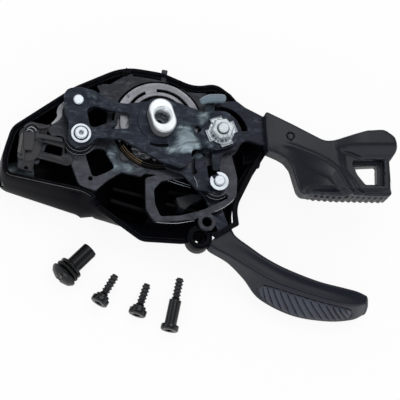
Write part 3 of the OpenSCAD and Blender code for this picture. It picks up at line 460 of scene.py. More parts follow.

# %% [markdown]
# The plastics: the shell is glossy black, the lever and the pad are satin with a blue cast, and
# the grip is a softer, lighter rubber. Numbers after the name are the colour, the colour of edges
# that are rubbed and carry painted highlight, and the roughness.

# %% Plastics and rubbers
finish("shell_black", (0.0027, 0.0029, 0.0046), (0.085, 0.086, 0.098), 0.24, wear_and_highlight=0.7, spread=0.08, grain=0.05,
       edge_width=0.3, specular=0.04, stain=0.1)
guide = dict(grain=0.1, edge_width=0.2)
finish("guide_black", (0.032, 0.032, 0.037), (0.14, 0.14, 0.15), 0.30, wear_and_highlight=0.7, specular=0.32, cavity_shade=0.7,
       **guide)
finish("guide_light", (0.085, 0.082, 0.085), (0.25, 0.25, 0.25), 0.3, wear_and_highlight=0.5, specular=0.35, cavity_shade=0.6,
       **guide)
satin = dict(wear_and_highlight=0.6, grain=0.12, grain_scale=3500.0, stain=0.15, patches=60.0)
finish("lever_satin", (0.0075, 0.0095, 0.0180), (0.085, 0.095, 0.135), 0.28, edge_width=0.6, specular=0.36,
       **satin)
finish("pad_satin", (0.0078, 0.0095, 0.0160), (0.075, 0.083, 0.115), 0.27, edge_width=0.7, specular=0.42,
       **satin)
finish("grip_rubber", (0.048, 0.055, 0.076), (0.14, 0.15, 0.18), 0.42, wear_and_highlight=0.25, grain=0.2, grain_scale=5000.0,
       edge_width=0.2, specular=0.35, cavity_shade=0.95, shade_reach=1.1)
finish("bumper_rubber", (0.15, 0.205, 0.245), (0.3, 0.36, 0.4), 0.32, wear_and_highlight=0.4, grain=0.25, grain_scale=1500.0)
finish("shell_inside", (0.003, 0.0032, 0.004), (0.003, 0.0032, 0.004), 0.34, wear_and_highlight=0.0, spread=0.08, grain=0.06,
       specular=0.05, stain=0.1)
finish("shell_greased", (0.030, 0.034, 0.040), (0.10, 0.11, 0.12), 0.28, grain=0.2, specular=0.3, stain=0.5,
       cavity_shade=0.6)
finish("seal_rubber", (0.005, 0.005, 0.0055), (0.03, 0.03, 0.032), 0.38, wear_and_highlight=0.3, specular=0.3)
finish("plug_black", (0.0045, 0.0045, 0.0055), (0.05, 0.05, 0.055), 0.2, wear_and_highlight=0.4, grain=0.05, spread=0.06,
       specular=0.35)
finish("spool_grey", (0.012, 0.012, 0.013), (0.04, 0.04, 0.04), 0.45, wear_and_highlight=0.3, specular=0.25)
print("plastics", list(made_of))

# %% [markdown]
# The metals: blued strip steel for the plates, a lighter hardened steel for the wheels, bright
# zinc on the nut, rivets and washers, spring wire, and black oxide on the screws.

# %% Metals
rolled = (hub, 0.0)
strip = dict(marks=rolled, specular=0.3)
finish("plate_steel", (0.020, 0.025, 0.040), (0.26, 0.29, 0.36), 0.31, metallic=0.6, wear_and_highlight=0.75, grain=0.35,
       edge_width=0.2, grease=1.0, streaks=0.6, spread=0.14, stain=0.6, cavity_shade=0.6, **strip)
finish("base_steel", (0.062, 0.064, 0.078), (0.32, 0.33, 0.38), 0.31, metallic=0.6, wear_and_highlight=0.7, grain=0.35,
       edge_width=0.2, grease=0.95, streaks=0.45, spread=0.14, stain=0.5, cavity_shade=0.7, darker_to_back=0.85, **strip)
finish("blued_steel", (0.015, 0.018, 0.029), (0.22, 0.24, 0.29), 0.31, metallic=0.55, wear_and_highlight=0.7, grain=0.3,
       edge_width=0.16, grease=0.8, streaks=0.35, spread=0.12, stain=0.5, cavity_shade=0.6, **strip)
finish("wheel_steel", (0.34, 0.34, 0.37), (0.75, 0.76, 0.79), 0.34, metallic=0.8, wear_and_highlight=0.35, grain=0.4,
       edge_width=0.16, grease=0.5, streaks=0.3, marks=(hub, 0.85), stain=0.4, cavity_shade=0.6)
finish("zinc_bright", (0.70, 0.75, 0.80), (0.9, 0.92, 0.94), 0.24, metallic=0.9, wear_and_highlight=0.25, grain=0.06,
       edge_width=0.12, marks=(hub, 0.6), stain=0.3, cavity_shade=0.85, shade_reach=0.7)
finish("zinc_greasy", (0.66, 0.71, 0.74), (0.9, 0.92, 0.94), 0.28, metallic=0.85, wear_and_highlight=0.3, grain=0.1,
       edge_width=0.12, grease=0.35, streaks=0.2, marks=(release_at, 0.4), stain=0.35, cavity_shade=0.85)
finish("zinc_nut", (0.86, 0.89, 0.91), (0.95, 0.96, 0.97), 0.30, metallic=0.88, wear_and_highlight=0.35, grain=0.07,
       edge_width=0.2, marks=(hub, 0.5), stain=0.12, cavity_shade=0.35, shade_reach=1.0)
drawn = dict(grain=0.1, marks=rolled, cavity_shade=0.8)
finish("spring_wire", (0.022, 0.020, 0.019), (0.20, 0.17, 0.14), 0.28, metallic=0.8, wear_and_highlight=0.15, **drawn)
# Painted highlight: a bright bronze copy of the dark wire, for the lit turns of the hub spring.
finish("lit_bronze_wire", (0.16, 0.115, 0.075), (0.40, 0.32, 0.24), 0.26, metallic=0.9, wear_and_highlight=0.2, **drawn)
finish("bright_wire", (0.28, 0.30, 0.33), (0.6, 0.62, 0.64), 0.25, metallic=0.9, wear_and_highlight=0.2, **drawn)
finish("black_oxide", (0.010, 0.010, 0.012), (0.10, 0.10, 0.11), 0.16, metallic=0.3, wear_and_highlight=0.4, grain=0.1,
       edge_width=0.12, spread=0.05, specular=0.7)
bare = dict(marks=rolled, metallic=0.7, wear_and_highlight=0.4)
finish("collar_steel", (0.10, 0.125, 0.135), (0.3, 0.33, 0.34), 0.35, cavity_shade=0.8, **bare)
# Painted highlight: the pale grey of the lit lobe on the base plate.
finish("lit_edge_grey", (0.34, 0.355, 0.375), (0.7, 0.72, 0.74), 0.3, grain=0.3, stain=0.5, **bare)
# Painted highlight: a bright metal for the thin wires that stand in for shining edges.
finish("edge_highlight_metal", (0.62, 0.64, 0.66), (0.9, 0.9, 0.9), 0.18, metallic=0.95, wear_and_highlight=0.2, marks=rolled)
print("finishes", len(made_of))

# %% [markdown]
# ## Stamped, turned and moulded solids that keep their own shape
#
# A stamped plate, a rivet or a nut is already right as a solid. It only needs its sheared edge
# rounded and its finish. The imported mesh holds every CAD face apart, so a Weld modifier first
# joins them, and the Bevel modifier then finds the real edges. The table gives each finish its
# solids, with the width of the rounding; rivet heads and the post get a rounder one.

# %% Dress a solid
def dress(node, material, edge, segments):
    thing = nodes[node]
    thing.data.materials.clear()
    thing.data.materials.append(made_of[material])
    shade_smooth(thing.data)
    weld = thing.modifiers.new("joined_faces", "WELD")
    weld.merge_threshold = 0.002 * MM
    if edge:
        flat = thing.modifiers.new("flat_faces", "DECIMATE")
        flat.decimate_type = "DISSOLVE"
        flat.angle_limit = math.radians(0.6)
        round_edges(thing, edge, segments)
    smooth = thing.modifiers.new("even_shading", "WEIGHTED_NORMAL")
    smooth.keep_sharp = True
    smooth.weight = 60


dressed = {
    "shell_black": {"lever_guard": 0.2}, "guide_black": {"cable_guide": 0},
    "collar_steel": {"casing_collar": 0}, "base_steel": {"base_plate": 0.16},
    "plate_steel": {"support_plate": 0.18, "lever_plate": 0.2},
    "zinc_bright": {"main_axle": 0.1, "plate_spacers": 0.08, "upper_rivet": 0.3, "lower_rivet": 0.3,
                    "lower_rivet_washer": 0.15, "axle_spacers": 0.08, "pawl_post": 0.3, "post_clip": 0.12,
                    "hub_sleeve": 0.1, "winding_pawl_pin": 0.1},
    "zinc_greasy": {"release_axle": 0.25, "lock_washer": 0, "release_nut": 0.3},
    "wheel_steel": {"index_wheel": 0.12, "winding_ratchet": 0.1, "winding_pawl": 0.1},
    "blued_steel": {"release_plate": 0.2, "holding_pawl": 0.18, "stop_pawl": 0.15},
    "spool_grey": {"cable_spool": 0.15}, "plug_black": {"port_plug": 0.2}, "seal_rubber": {"plug_seal": 0},
    "black_oxide": {"cover_screws": 0.06, "shoulder_screw": 0.06}}
domed = "upper_rivet", "lower_rivet", "pawl_post"
for material, solids in dressed.items():
    for node, edge in solids.items():
        dress(node, material, edge, 3 if node in domed else 2)
print("solids dressed", sum(len(solids) for solids in dressed.values()))

# %% [markdown]
# ## The moulded shell
#
# The shell is an injection-moulded tray about as long as a thumb and a finger. Its outline is a
# rounded wedge. The rim carries a narrow lip, with a step inside it where the cover sat, and at
# the front the wall is lower and leans out. The tray is made as rings of the same outline, each
# moved inwards by a distance and down by a height, so that the lip and the step run evenly round.

# %% Outline of the tray: x, y, corner radius, height of the rim, lean of the wall
rim, low_rim = -8.6, -14.8
tray_floor, tray_foot = -20.2, floor_z
outline_step, wall_step = 1.6, 1.8
tray_path = [
    (-43.6, -14.8, 3, rim, -0.8), (-21, -20.0, 10, rim, -2.2), (-17.4, -23.4, 6, rim - 3.6, -0.4),
    (-5.4, -32.4, 5, rim - 4.4, 3), (6.5, -33.2, 6, rim - 4.4, 3), (20.8, -28.6, 3, low_rim, 1.6),
    (20.8, -23.5, 8, low_rim, 0.6), (25.2, -14.9, 12, low_rim, 0.2), (30.6, -7.2, 4.5, low_rim, 0),
    (29.9, -1.6, 0.5, low_rim, 0), (29.4, -0.2, 0.5, base_foot, 0), (26.4, 4.6, 4, base_foot, 0),
    (21.2, 9.5, 4, rim, 0), (17.2, 12.6, 5, rim, 0), (11, 11.6, 12, rim, 0), (2, 15.6, 14, rim, 0),
    (-9, 17.4, 16, rim, 0), (-23, 11.2, 20, rim, 0), (-40.8, -0.8, 6, rim, 0), (-43.4, -9, 6, rim, 0)]


def tray_outline():
    out, count = [], len(tray_path)
    for i, (*place, radius, height, lean) in enumerate(tray_path):
        before, after = tray_path[i - 1], tray_path[(i + 1) % count]
        corner = rounded([(*before[:2], 0), (*place, radius), (*after[:2], 0)], 6)[1:-1]
        out += [(float(p[0]), float(p[1]), height, lean) for p in corner]
    fine = []
    for a, b in zip(out, out[1:] + out[:1]):
        parts = max(1, int(math.dist(a[:2], b[:2]) / outline_step))
        fine += [tuple(a[k] + (b[k] - a[k]) * j / parts for k in range(4)) for j in range(parts)]
    return fine


tray_points = tray_outline()
print("points round the tray", len(tray_points))

# %% [markdown]
# A ring is the outline scaled about the middle of the tray, moved inwards, and set at a height
# that may follow the rim. The lean says how much of the outline's own lean the ring takes.

# %% Rings of the tray
tray_middle = np.array([-7.0, -8.0])


def tray_ring(scale, inset, lean, height):
    count = len(tray_points)
    plan = [tray_middle + (np.array(p[:2]) - tray_middle) * scale for p in tray_points]
    ring = []
    for i, p in enumerate(tray_points):
        q = plan[i] + (inset + p[3] * lean) * to_left(unit(plan[(i + 1) % count] - plan[i - 1]))
        ring.append([q[0], q[1], height(p)])
    return ring


def level_rings(inset, rows):
    return [tray_ring(scale, inset, lean, lambda p, h=h: h) for scale, lean, h in rows]


def tray():
    wall, shoulder = 1.8, low_rim - 1.2
    lip = [(1.8, -1.5), (1.75, -0.95), (1.62, -0.8), (0.98, -0.72), (0.88, -0.62), (0.82, -0.12), (0.7, -0.02),
           (0.3, 0.0), (0.1, -0.08), (0.0, -0.3)]
    rings = level_rings(wall, [(0.94, 1.4, tray_floor), (0.96, 1.38, tray_floor + 0.25),
                               (0.985, 1.3, tray_floor + 1.0), (1.01, 1.0, shoulder)])
    rings += [tray_ring(1, inset, 0, lambda p, z=z: p[2] + z) for inset, z in lip]
    rings.append(tray_ring(1, 0, 0.5, lambda p: (p[2] + low_rim - 1.2) / 2))
    rings += level_rings(0, [(1.01, 1.0, shoulder), (1.005, 1.15, low_rim - 3), (1, 1.3, tray_floor + 0.8),
                             (0.985, 1.4, tray_foot + 1.7), (0.95, 1.5, tray_foot + 0.9),
                             (0.91, 1.5, tray_foot + 0.4), (0.87, 1.5, tray_foot + 0.15),
                             (0.74, 1.5, tray_foot)])
    dense = rings[:1]
    for before, after in zip(rings, rings[1:]):
        parts = max(1, int(max(math.dist(p, q) for p, q in zip(before, after)) / wall_step))
        dense += [[[a + (b - a) * j / parts for a, b in zip(p, q)] for p, q in zip(before, after)]
                  for j in range(1, parts + 1)]
    count, points = len(tray_points), [q for ring in dense for q in ring]
    low, top, last = len(points), len(points) + 1, len(points) - len(tray_points)
    points += [[*tray_middle, tray_floor], [*tray_middle, tray_foot]]
    faces = loft_faces(len(dense), count)
    faces += [[low, (i + 1) % count, i] for i in range(count)]
    faces += [[top, last + i, last + (i + 1) % count] for i in range(count)]
    return piece("moulded_shell", points, faces, "shell_black", sharp=50)


shell = tray()
print("shell faces", len(shell.data.polygons))

# %% [markdown]
# Openings are cut with the Boolean modifier and solid cutters, which are thrown away afterwards:
# here the round port for the inner cable and the seat of the casing collar, later the window and
# the slot of the pad.

# %% Cutting
def cylinder_cutter(start, end, radius):
    start, end = Vector(start) * MM, Vector(end) * MM
    along = end - start
    turn = along.to_track_quat("Z", "Y").to_matrix().to_4x4()
    mesh = bpy.data.meshes.new("cutter")
    bm = bmesh.new()
    bmesh.ops.create_cone(bm, cap_ends=True, segments=48, radius1=radius * MM, radius2=radius * MM,
                          depth=along.length, matrix=Matrix.Translation((start + end) / 2) @ turn)
    bm.to_mesh(mesh)
    bm.free()
    return linked("cutter", mesh)


def bake(thing):
    """Put the mesh that the modifiers make in the place of the mesh and its modifiers."""
    bpy.context.view_layer.update()
    result = bpy.data.meshes.new_from_object(thing.evaluated_get(bpy.context.evaluated_depsgraph_get()))
    thing.modifiers.clear()
    old, thing.data = thing.data, result
    bpy.data.meshes.remove(old)
    shade_smooth(result)


def cut(thing, *cutters):
    for other in cutters:
        step = thing.modifiers.new("cut", "BOOLEAN")
        step.operation = "DIFFERENCE"
        step.solver = "EXACT"
        step.object = other
    bake(thing)
    for other in cutters:
        bpy.data.objects.remove(other)
    thing.data.set_sharp_from_angle(angle=math.radians(40))


cable_angle = math.radians(4.589)
cable_way = np.array([math.cos(cable_angle), math.sin(cable_angle), 0])
cable_side = np.array([-cable_way[1], cable_way[0], 0])
port_centre, collar_centre = np.array([28.97, -6.70, -17.9]), np.array([-42, -12.4, -16.4])
port_tube = turned("port_tube", [(2.45, -3.9), (3.1, -3.9), (3.1, 1.0), (2.9, 1.2), (2.6, 1.2), (2.45, 1.05)],
                   hub, "shell_black")
for v in port_tube.data.vertices:
    across, height, along = (c / MM for c in v.co)
    v.co = Vector(port_centre + along * cable_way + across * cable_side + np.array([0, 0, height])) * MM
cut(shell, cylinder_cutter(port_centre - 5 * cable_way, port_centre + 4 * cable_way, 2.9),
    cylinder_cutter(collar_centre - 4 * cable_way, collar_centre + 4.5 * cable_way, 3.37))
print("shell after cutting", len(shell.data.polygons))

# %% [markdown]
# Inside the tray stand the posts that carry the base plate, the boss for the cover screw with its
# counterbore, and the low boss that centres the axle. Screw bosses are turned shapes with a
# rounded mouth. Low ribs on the floor stiffen the thumb side.

# %% Posts, bosses and ribs
def below(height, *profile):
    return [(r, height - z) for r, z in profile]


sunk = tray_floor - 0.3
post = [(0, sunk), (2.1, sunk), (1.9, tray_floor + 0.4), (1.9, base_foot), (0, base_foot)]
for k, p in enumerate([(-29.4, -1.0), (-14.6, 11.0)]):
    turned(f"shell_post_{k}", post, p, "shell_inside", closed=False, edge=0.08)
turned("eyelet_post", [*below(base_foot, (1.05, 5), (1.05, 0.2), (1.2, 0), (1.9, 0)), (1.9, sunk), (0.2, sunk),
                       (0.2, base_foot - 5)], (12.6, -27.8), "shell_inside")
turned("cover_boss", below(base_foot, (1.02, 6.1), (1.02, 3.1), (1.85, 2.9), (1.95, 0.3), (2.1, 0.06), (2.3, 0),
                           (3.2, 0), (3.42, 0.12), (3.5, 0.4), (3.5, 5.6), (3.3, 6.1), (2.6, 6.4), (0.4, 6.4),
                           (0.4, 6.1)), (10.7, -31.7), "shell_black")
turned("axle_boss", [(3.1, sunk), (3.1, -19.0), (6.0, -19.0), (6.2, -19.2), (6.4, sunk)], hub,
       "shell_inside", edge=0.1)
tray_ribs = [((-12.6, -16.6), (-1.4, -19.6), -15.0), ((-13.5, -20.4), (-2.5, -23.9), -13.4),
             ((3.2, -17.2), (15.4, -19.8), -15.6), ((2.4, -20.6), (13.6, -23.4), -16.4)]
for k, (a, b, top) in enumerate(tray_ribs):
    a, b = np.array(a, float), np.array(b, float)
    across = to_left(unit(b - a)) * 0.5
    prism(f"tray_rib_{k}", [a + across, a - across, b - across, b + across], tray_floor - 0.2, top,
          "shell_inside", edge=0.15)
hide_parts("upper_shell")
print("posts and ribs made", 4 + len(tray_ribs))

# %% [markdown]
# ## The thumb lever
#
# The paddle of the thumb lever is thick nylon moulded round a steel arm. It curves away from the
# shell, its top face is flat and narrow, and its front face, which the thumb pushes, is deep and
# leans under. It is a loft: a section of the same kind at each station along it, and a smooth
# curve through the stations. The section has rounded corners, so no bevel is needed.

# %% Stations of the paddle: far top edge, near top edge, near foot, top height, foot height
stations = [
    [(19.9, -28.6), (14.3, -32.3), (14.3, -32.6), -11.1, -14.4],
    [(21.1, -31.2), (13.7, -34.4), (13.1, -34.9), -11.05, -14.6],
    [(25.1, -34.5), (18.9, -37.5), (18.6, -38.4), -10.9, -15.2],
    [(29.6, -37.8), (24.2, -41.1), (23.2, -42.8), -10.6, -17.0],
    [(35.3, -40.9), (30.2, -44.8), (27.6, -48.4), -10.3, -18.8],
    [(43.6, -44.3), (38.6, -47.9), (36.8, -53.2), -10.3, -19.6],
    [(50.6, -46.2), (47.6, -50.7), (47.0, -55.0), -10.4, -19.6],
    [(54.6, -47.3), (53.4, -51.6), (54.4, -54.7), -10.7, -19.1],
    [(57.2, -48.5), (56.9, -51.1), (57.8, -53.3), -11.3, -18.5]]
table = np.array([[*far, *near, *foot, top, low] for far, near, foot, top, low in stations])
last_station = len(table) - 1
look_ahead = 0.05


def station(u):
    i = int(min(math.floor(u), last_station - 1))
    return catmull(table[max(i - 1, 0)], table[i], table[i + 1], table[min(i + 2, last_station)], u - i)


def thumb_face(u, v, out=0.0):
    """A point of the front face, v of the way from its top to its foot, moved out by a distance."""
    s, t = station(u), station(min(u + look_ahead, last_station - look_ahead))
    top, low = np.array([s[2], s[3], s[6]]), np.array([s[4], s[5], s[7]])
    along = np.array([t[2] - s[2], t[3] - s[3], 0])
    return top + (low - top) * v - out * unit(np.cross(along, low - top))


print("paddle length", round(float(np.linalg.norm(np.diff(table[:, 2:4], axis=0), axis=1).sum()), 1), "mm")

# %% [markdown]
# The grip is an oval patch of softer plastic let into the front face, with slanted ribs. The
# paddle dips by a third of a millimetre under it, and a narrow gap runs round it.

# %% The oval of the grip
grip_from, grip_to, grip_mid, grip_half = 3.72, 6.98, 0.50, 0.36
dip_depth, gap_depth, gap_at, gap_width = 0.30, 0.30, 0.985, 0.035


def dip_at(u, v):
    """How far the face lies back: under the grip, and in the gap at the border, where d is one."""
    t = (u - grip_from) / (grip_to - grip_from) * 2 - 1
    w = (v - grip_mid) / grip_half
    d = (abs(t) ** 3.2 + abs(w) ** 2.6) ** (1 / 2.9)
    return dip_depth * float(1 - ease(d, 0.93, 1.0)) + gap_depth * math.exp(-((d - gap_at) / gap_width) ** 2)


print("dip under the grip", round(dip_at((grip_from + grip_to) / 2, grip_mid), 2), "mm")

# %% [markdown]
# One section has four rounded corners, with a fine row of points on the front face for the dip
# and a short row on the top face, which is a little hollow. The far end is closed by a dome.

# %% Sections of the paddle
corner_share = 0.2, 0.22, 0.2, 0.11
front_corner, top_corner = 2, 3
front_points, top_points, top_hollow = 44, 8, 0.28


def paddle_section(u):
    s = station(u)
    far, near, foot, (top_z, foot_z) = s[0:2], s[2:4], s[4:6], s[6:8]
    back = far + (foot - far) * 0.16
    quad = [np.array(p) for p in ((*far, top_z), (*back, foot_z + 0.3), (*foot, foot_z), (*near, top_z))]
    ring = []
    for k, share in enumerate(corner_share):
        here, before, after = quad[k], quad[k - 1], quad[(k + 1) % 4]
        a, b = here + (before - here) * share, here + (after - here) * share
        ring += [(1 - t) ** 2 * a + 2 * t * (1 - t) * here + t * t * b for t in (j / 6 for j in range(7))]
        start, end = ring[-1], after + (here - after) * corner_share[(k + 1) % 4]
        if k == front_corner:
            for t in (j / front_points for j in range(1, front_points)):
                v = 1 - share + (corner_share[k + 1] - (1 - share)) * t
                point, dip = start + (end - start) * t, dip_at(u, v)
                if dip > 0.001 and 0.3 < u < last_station - 0.3:
                    point = point + (thumb_face(u, v, -dip) - thumb_face(u, v))
                ring.append(point)
        elif k == top_corner:
            hollow = top_hollow * float(ease(u, 1.0, 3.0))
            ring += [start + (end - start) * t - np.array([0, 0, hollow * math.sin(math.pi * t)])
                     for t in (j / top_points for j in range(1, top_points))]
    return ring


def paddle(length=220):
    rows = [paddle_section(last_station * i / length) for i in range(length + 1)]
    centre, dome = np.mean(rows[-1], axis=0), np.array([0.95, -0.2, 0])
    for turn in (math.radians(13.5 * k) for k in range(1, 7)):
        rows.append([centre + (p - centre) * math.cos(turn) + dome * math.sin(turn) for p in rows[length]])
    around = len(rows[0])
    points = [p for ring in rows for p in ring]
    faces = loft_faces(len(rows), around) + end_faces(len(rows), around)
    return piece("thumb_lever_paddle", points, faces, "lever_satin", "thumb_lever", sharp=50)


thumb_paddle = paddle()
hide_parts("thumb_paddle")
print("paddle faces", len(thumb_paddle.data.polygons))

# %% [markdown]
# The grip patch is a fine grid over the oval. Each rib is a rounded ridge that runs down the face
# with a slant; the ridge fades before the border, where the patch rounds over into its gap.

# %% Ribbed grip
grip_ribs, rib_slant, rib_height, grip_sunk, grip_foot = 14, 3.9, 0.80, 0.26, 0.42


def grip(long=300, across=40):
    top, low = [], []
    for t in (-math.cos(math.pi * i / long) for i in range(long + 1)):
        reach = (max(0.0, 1 - abs(t * 0.97) ** 3.2)) ** (1 / 2.6)
        u = grip_from + (grip_to - grip_from) * (t * 0.965 + 1) / 2
        for w in (-math.cos(math.pi * j / across) for j in range(across + 1)):
            v = grip_mid + grip_half * 0.955 * reach * w
            border = max(abs(t) ** 6, abs(w) ** 6)
            phase = (u - grip_from) / (grip_to - grip_from) * grip_ribs - (v - grip_mid) * rib_slant
            ridge = (1 - abs(2 * (phase % 1.0) - 1) ** 2.2) ** 0.65
            top.append(thumb_face(u, v, (0.10 + rib_height * ridge) * (1 - border) ** 0.6 - grip_sunk))
            low.append(thumb_face(u, v, -grip_foot))
    wide, count = across + 1, len(top)
    end = long * wide
    faces = []
    for a in (i * wide + j for i in range(long) for j in range(across)):
        b, c, d = a + 1, a + wide + 1, a + wide
        faces += [[a, b, c, d], [count + d, count + c, count + b, count + a]]
    for a in (i * wide for i in range(long)):
        b, c, d = a + wide, a + wide + across, a + across
        faces += [[a, b, count + b, count + a], [c, d, count + d, count + c]]
    for j in range(across):
        faces += [[j + 1, j, count + j, count + j + 1],
                  [end + j, end + j + 1, count + end + j + 1, count + end + j]]
    return piece("thumb_lever_grip", top + low, faces, "grip_rubber", "thumb_lever", sharp=60)


thumb_grip = grip()
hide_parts("thumb_grip")
print("grip faces", len(thumb_grip.data.polygons))

# %% [markdown]
# ## The release pad
#
# The release pad is the soft-looking half of the shifter: a thick moulded rest for the finger,
# with a raised horn at its far end, a scooped face and a ribbed front. Its edges all flow into
# each other, so sections and bevels don't describe it well. It is made the way a model maker
# would: plain blocks are laid over each other, melted into one skin with the Remesh modifier,
# smoothed, and then the top is pressed down or drawn up by a height rule.

# %% Blocks of the pad
pad_foot, pad_top, horn_foot, horn_top = -9.2, -3.5, -5.4, -0.75
pad_outline = [
    (29.7, 2.9, 0.6), (37.5, -1.05, 6), (45.4, -5.3, 8), (53, -8.0, 3), (65.0, -10.9, 1.0), (64.9, -16.2, 4),
    (64.5, -22.3, 1.3), (49.2, -22.0, 30), (39.2, -21.3, 1.4), (38.1, -19.9, 1.5), (37.4, -17.0, 6),
    (36.6, -13.4, 2.5), (35.0, -11.2, 2.5), (33.2, -10.1, 2), (29.8, -8.6, 0.8)]
horn_outline = [
    (43.5, -4.9, 1), (48.4, -5.8, 7), (58.6, -3.4, 6), (63.4, -3.2, 2.5), (66.4, -5.4, 2.4), (66.9, -9, 2.4),
    (65.3, -11.6, 1.6), (62, -12.4, 2), (54, -11.2, 3), (46, -9.6, 2)]


def pad_block(outline, z0, z1):
    return prism("block", rounded(outline, 6), z0, z1, "pad_satin", "release_lever", edge=0)


def melt(name, blocks, grain, passes):
    """Blocks joined into one skin of even quads, with every edge softened."""
    first = blocks[0]
    bm = bmesh.new()
    for other in blocks:
        bm.from_mesh(other.data)
    bm.to_mesh(first.data)
    bm.free()
    for other in blocks[1:]:
        bpy.data.objects.remove(other)
    first.name = name
    skin = first.modifiers.new("one_skin", "REMESH")
    skin.mode = "VOXEL"
    skin.voxel_size = grain * MM
    soft = first.modifiers.new("softened", "SMOOTH")
    soft.factor, soft.iterations = 0.5, passes
    bake(first)
    return first


def slope_down(thing):
    """The horn rises out of the plateau and falls away towards the window."""
    for v in thing.data.vertices:
        x, y, z = v.co / MM
        lift = max(0.0, z - horn_foot) / (horn_top - horn_foot)
        fall = 3.3 * (1 - float(ease(x, 45.5, 58.5)))
        fall += 2.5 * float(ease(-y, 7.2, 11.4)) * float(ease(x, 47, 54))
        v.co.z = (z - fall * lift) * MM


pad_body = pad_block(pad_outline, pad_foot, pad_top)
pad_horn = melt("pad_horn", [pad_block(horn_outline, horn_foot, horn_top)], 0.3, 8)
slope_down(pad_horn)
release_pad = melt("release_lever_pad", [pad_body, pad_horn], 0.24, 9)
print("pad skin", len(release_pad.data.polygons), "faces")

# %% [markdown]
# The height rule knows two lines on the pad. The first is the crest that runs from the root to
# the front edge; in front of it the face is scooped. The second runs beside it, and the field
# beyond steps down a little. The front lip is drawn up, and the ribs of the front are pulled out.

# %% Height rule of the pad
crest = [(29.0, -5.6), (32.6, -6.4), (37.4, -7.7), (42.6, -9.8), (46.6, -11.9), (49.3, -14.1), (50.9, -17.1),
         (52.4, -20.6), (53.4, -24.5)]
second = [(49.8, -12.6), (51.2, -14.8), (53.2, -17.6), (55.2, -21.0), (56.4, -24.5)]
front_rib_pitch, front_rib_at, front_rib_depth = 1.72, 43.0, 0.45


def from_line(line, x, y):
    """Signed distance to a line of points, positive to the left of its way."""
    best, sign = np.full(x.shape, 1e9), np.ones(x.shape)
    for (ax, ay), (bx, by) in zip(line[:-1], line[1:]):
        dx, dy = bx - ax, by - ay
        t = np.clip(((x - ax) * dx + (y - ay) * dy) / (dx * dx + dy * dy), 0, 1)
        ox, oy = x - (ax + t * dx), y - (ay + t * dy)
        d = np.hypot(ox, oy)
        sign = np.where(d < best, np.sign(dx * oy - dy * ox), sign)
        best = np.minimum(best, d)
    return best * sign


def drawn_height(x, y, z):
    d, e = -from_line(crest, x, y), from_line(second, x, y)
    scoop_depth = 0.25 + 1.75 * ease(x, 33, 47)
    scoop = -scoop_depth * ease(d, 0.2, 2.6 + 2.4 * (1 - ease(x, 42, 50))) * (d > 0)
    ridge = 0.30 * np.exp(-(d / 0.75) ** 2) * ease(x, 32, 38)
    step = -0.55 * ease(e, 0.0, 1.3) * (d < 0) * ease(x, 49.5, 52.5)
    lip = 1.1 * ease(-y, 19.4, 22.0) * ease(x, 38.5, 42)
    lip = lip + 1.0 * ease(-y, 18.0, 21.0) * (d > 0) * ease(x, 39, 44)
    root = 0.35 * (1 - ease(x, 30.0, 33.5)) * ease(-y, -4, 4)
    off_horn = 1 - ease(z, -3.5, -3.0) * ease(x, 46, 50)
    share = np.clip((z - pad_foot) / (pad_top - pad_foot), 0, 1)
    return z + share * (scoop + ridge + step + lip - root) * off_horn


def ribbed_front(x, y, z):
    front = ease(-y, 20.6, 21.4) * (x > 39.5) * (x < 64.2)
    band_of_ribs = ease(-z, 4.2, 5.4) * (1 - ease(-z, 8.7, 9.1))
    ends = ease(x, 40.5, 42.5) * (1 - ease(x, 63.0, 64.2))
    ribs = 0.5 + 0.5 * np.cos(2 * math.pi * (x - front_rib_at) / front_rib_pitch)
    return y - front * band_of_ribs * ends * (0.1 + front_rib_depth * ribs ** 0.8)


def press(thing):
    co = np.empty(len(thing.data.vertices) * 3)
    thing.data.vertices.foreach_get("co", co)
    x, y, z = co.reshape(-1, 3).T / MM
    co = np.column_stack([x, ribbed_front(x, y, z), drawn_height(x, y, z)])
    thing.data.vertices.foreach_set("co", (co * MM).ravel())
    thing.data.update()


press(release_pad)
print("pad pressed")

# %% [markdown]
# The window in the pad is a pocket with a smaller hole through its floor, and the steel plate of
# the lever slides into a slot at the root. A small blank boss stands near the root, where the
# mould was gated. Cutting them afterwards keeps their edges crisp against the soft skin.

# %% Window, slot and boss
def pad_cutter(outline, z0, z1):
    return prism("cutter", outline, z0, z1, "pad_satin", edge=0)


pocket = pad_cutter(rounded([(53.9, -11.6, 0.8), (55.2, -15.6, 5), (57.5, -18.7, 1.4), (62.9, -18.9, 0.5),
                             (63.5, -11.4, 0.8)], 8), -6.3, 1)
hole = pad_cutter(rounded([(54.9, -12.7, 0.5), (61.9, -12.4, 0.5), (61.5, -17.9, 0.5), (57.6, -17.9, 1.6),
                           (55.9, -15.6, 3)], 8), -12, 0)
plate_slot = pad_cutter([(28, 3.1), (30.8, 1.7), (37.48, -2.35), (37.48, -5.68), (28, -6.98)], -8.22, -6.58)
mark_ring = turned("cutter", [(0.9, -3.68), (1.1, -3.68), (1.1, -2), (0.9, -2)], (36.5, -4.6), "pad_satin",
                   "release_lever", around=40)
cut(release_pad, pocket, hole, plate_slot, mark_ring)
round_edges(release_pad, 0.22, angle=48)
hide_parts("release_pad")
print("pad", len(release_pad.data.polygons), [round(v / MM, 2) for v in release_pad.dimensions])

# %% [markdown]
# ## Springs
#
# Each lever and pawl is driven back by a spring of drawn wire. A spring is a helix: the wire's
# round section is carried along a line whose angle, radius and height grow evenly. The large one
# round the hub lies under grease and is dark wire, with painted highlight: on a range of angles its
# wire is a bright bronze copy, where the light catches the turns. So its line is divided into runs,
# and a run of two steps or less is left out.

# %% Coil springs
hub_start, hub_steps, lit_from, lit_to = 200, 72, 212, 246


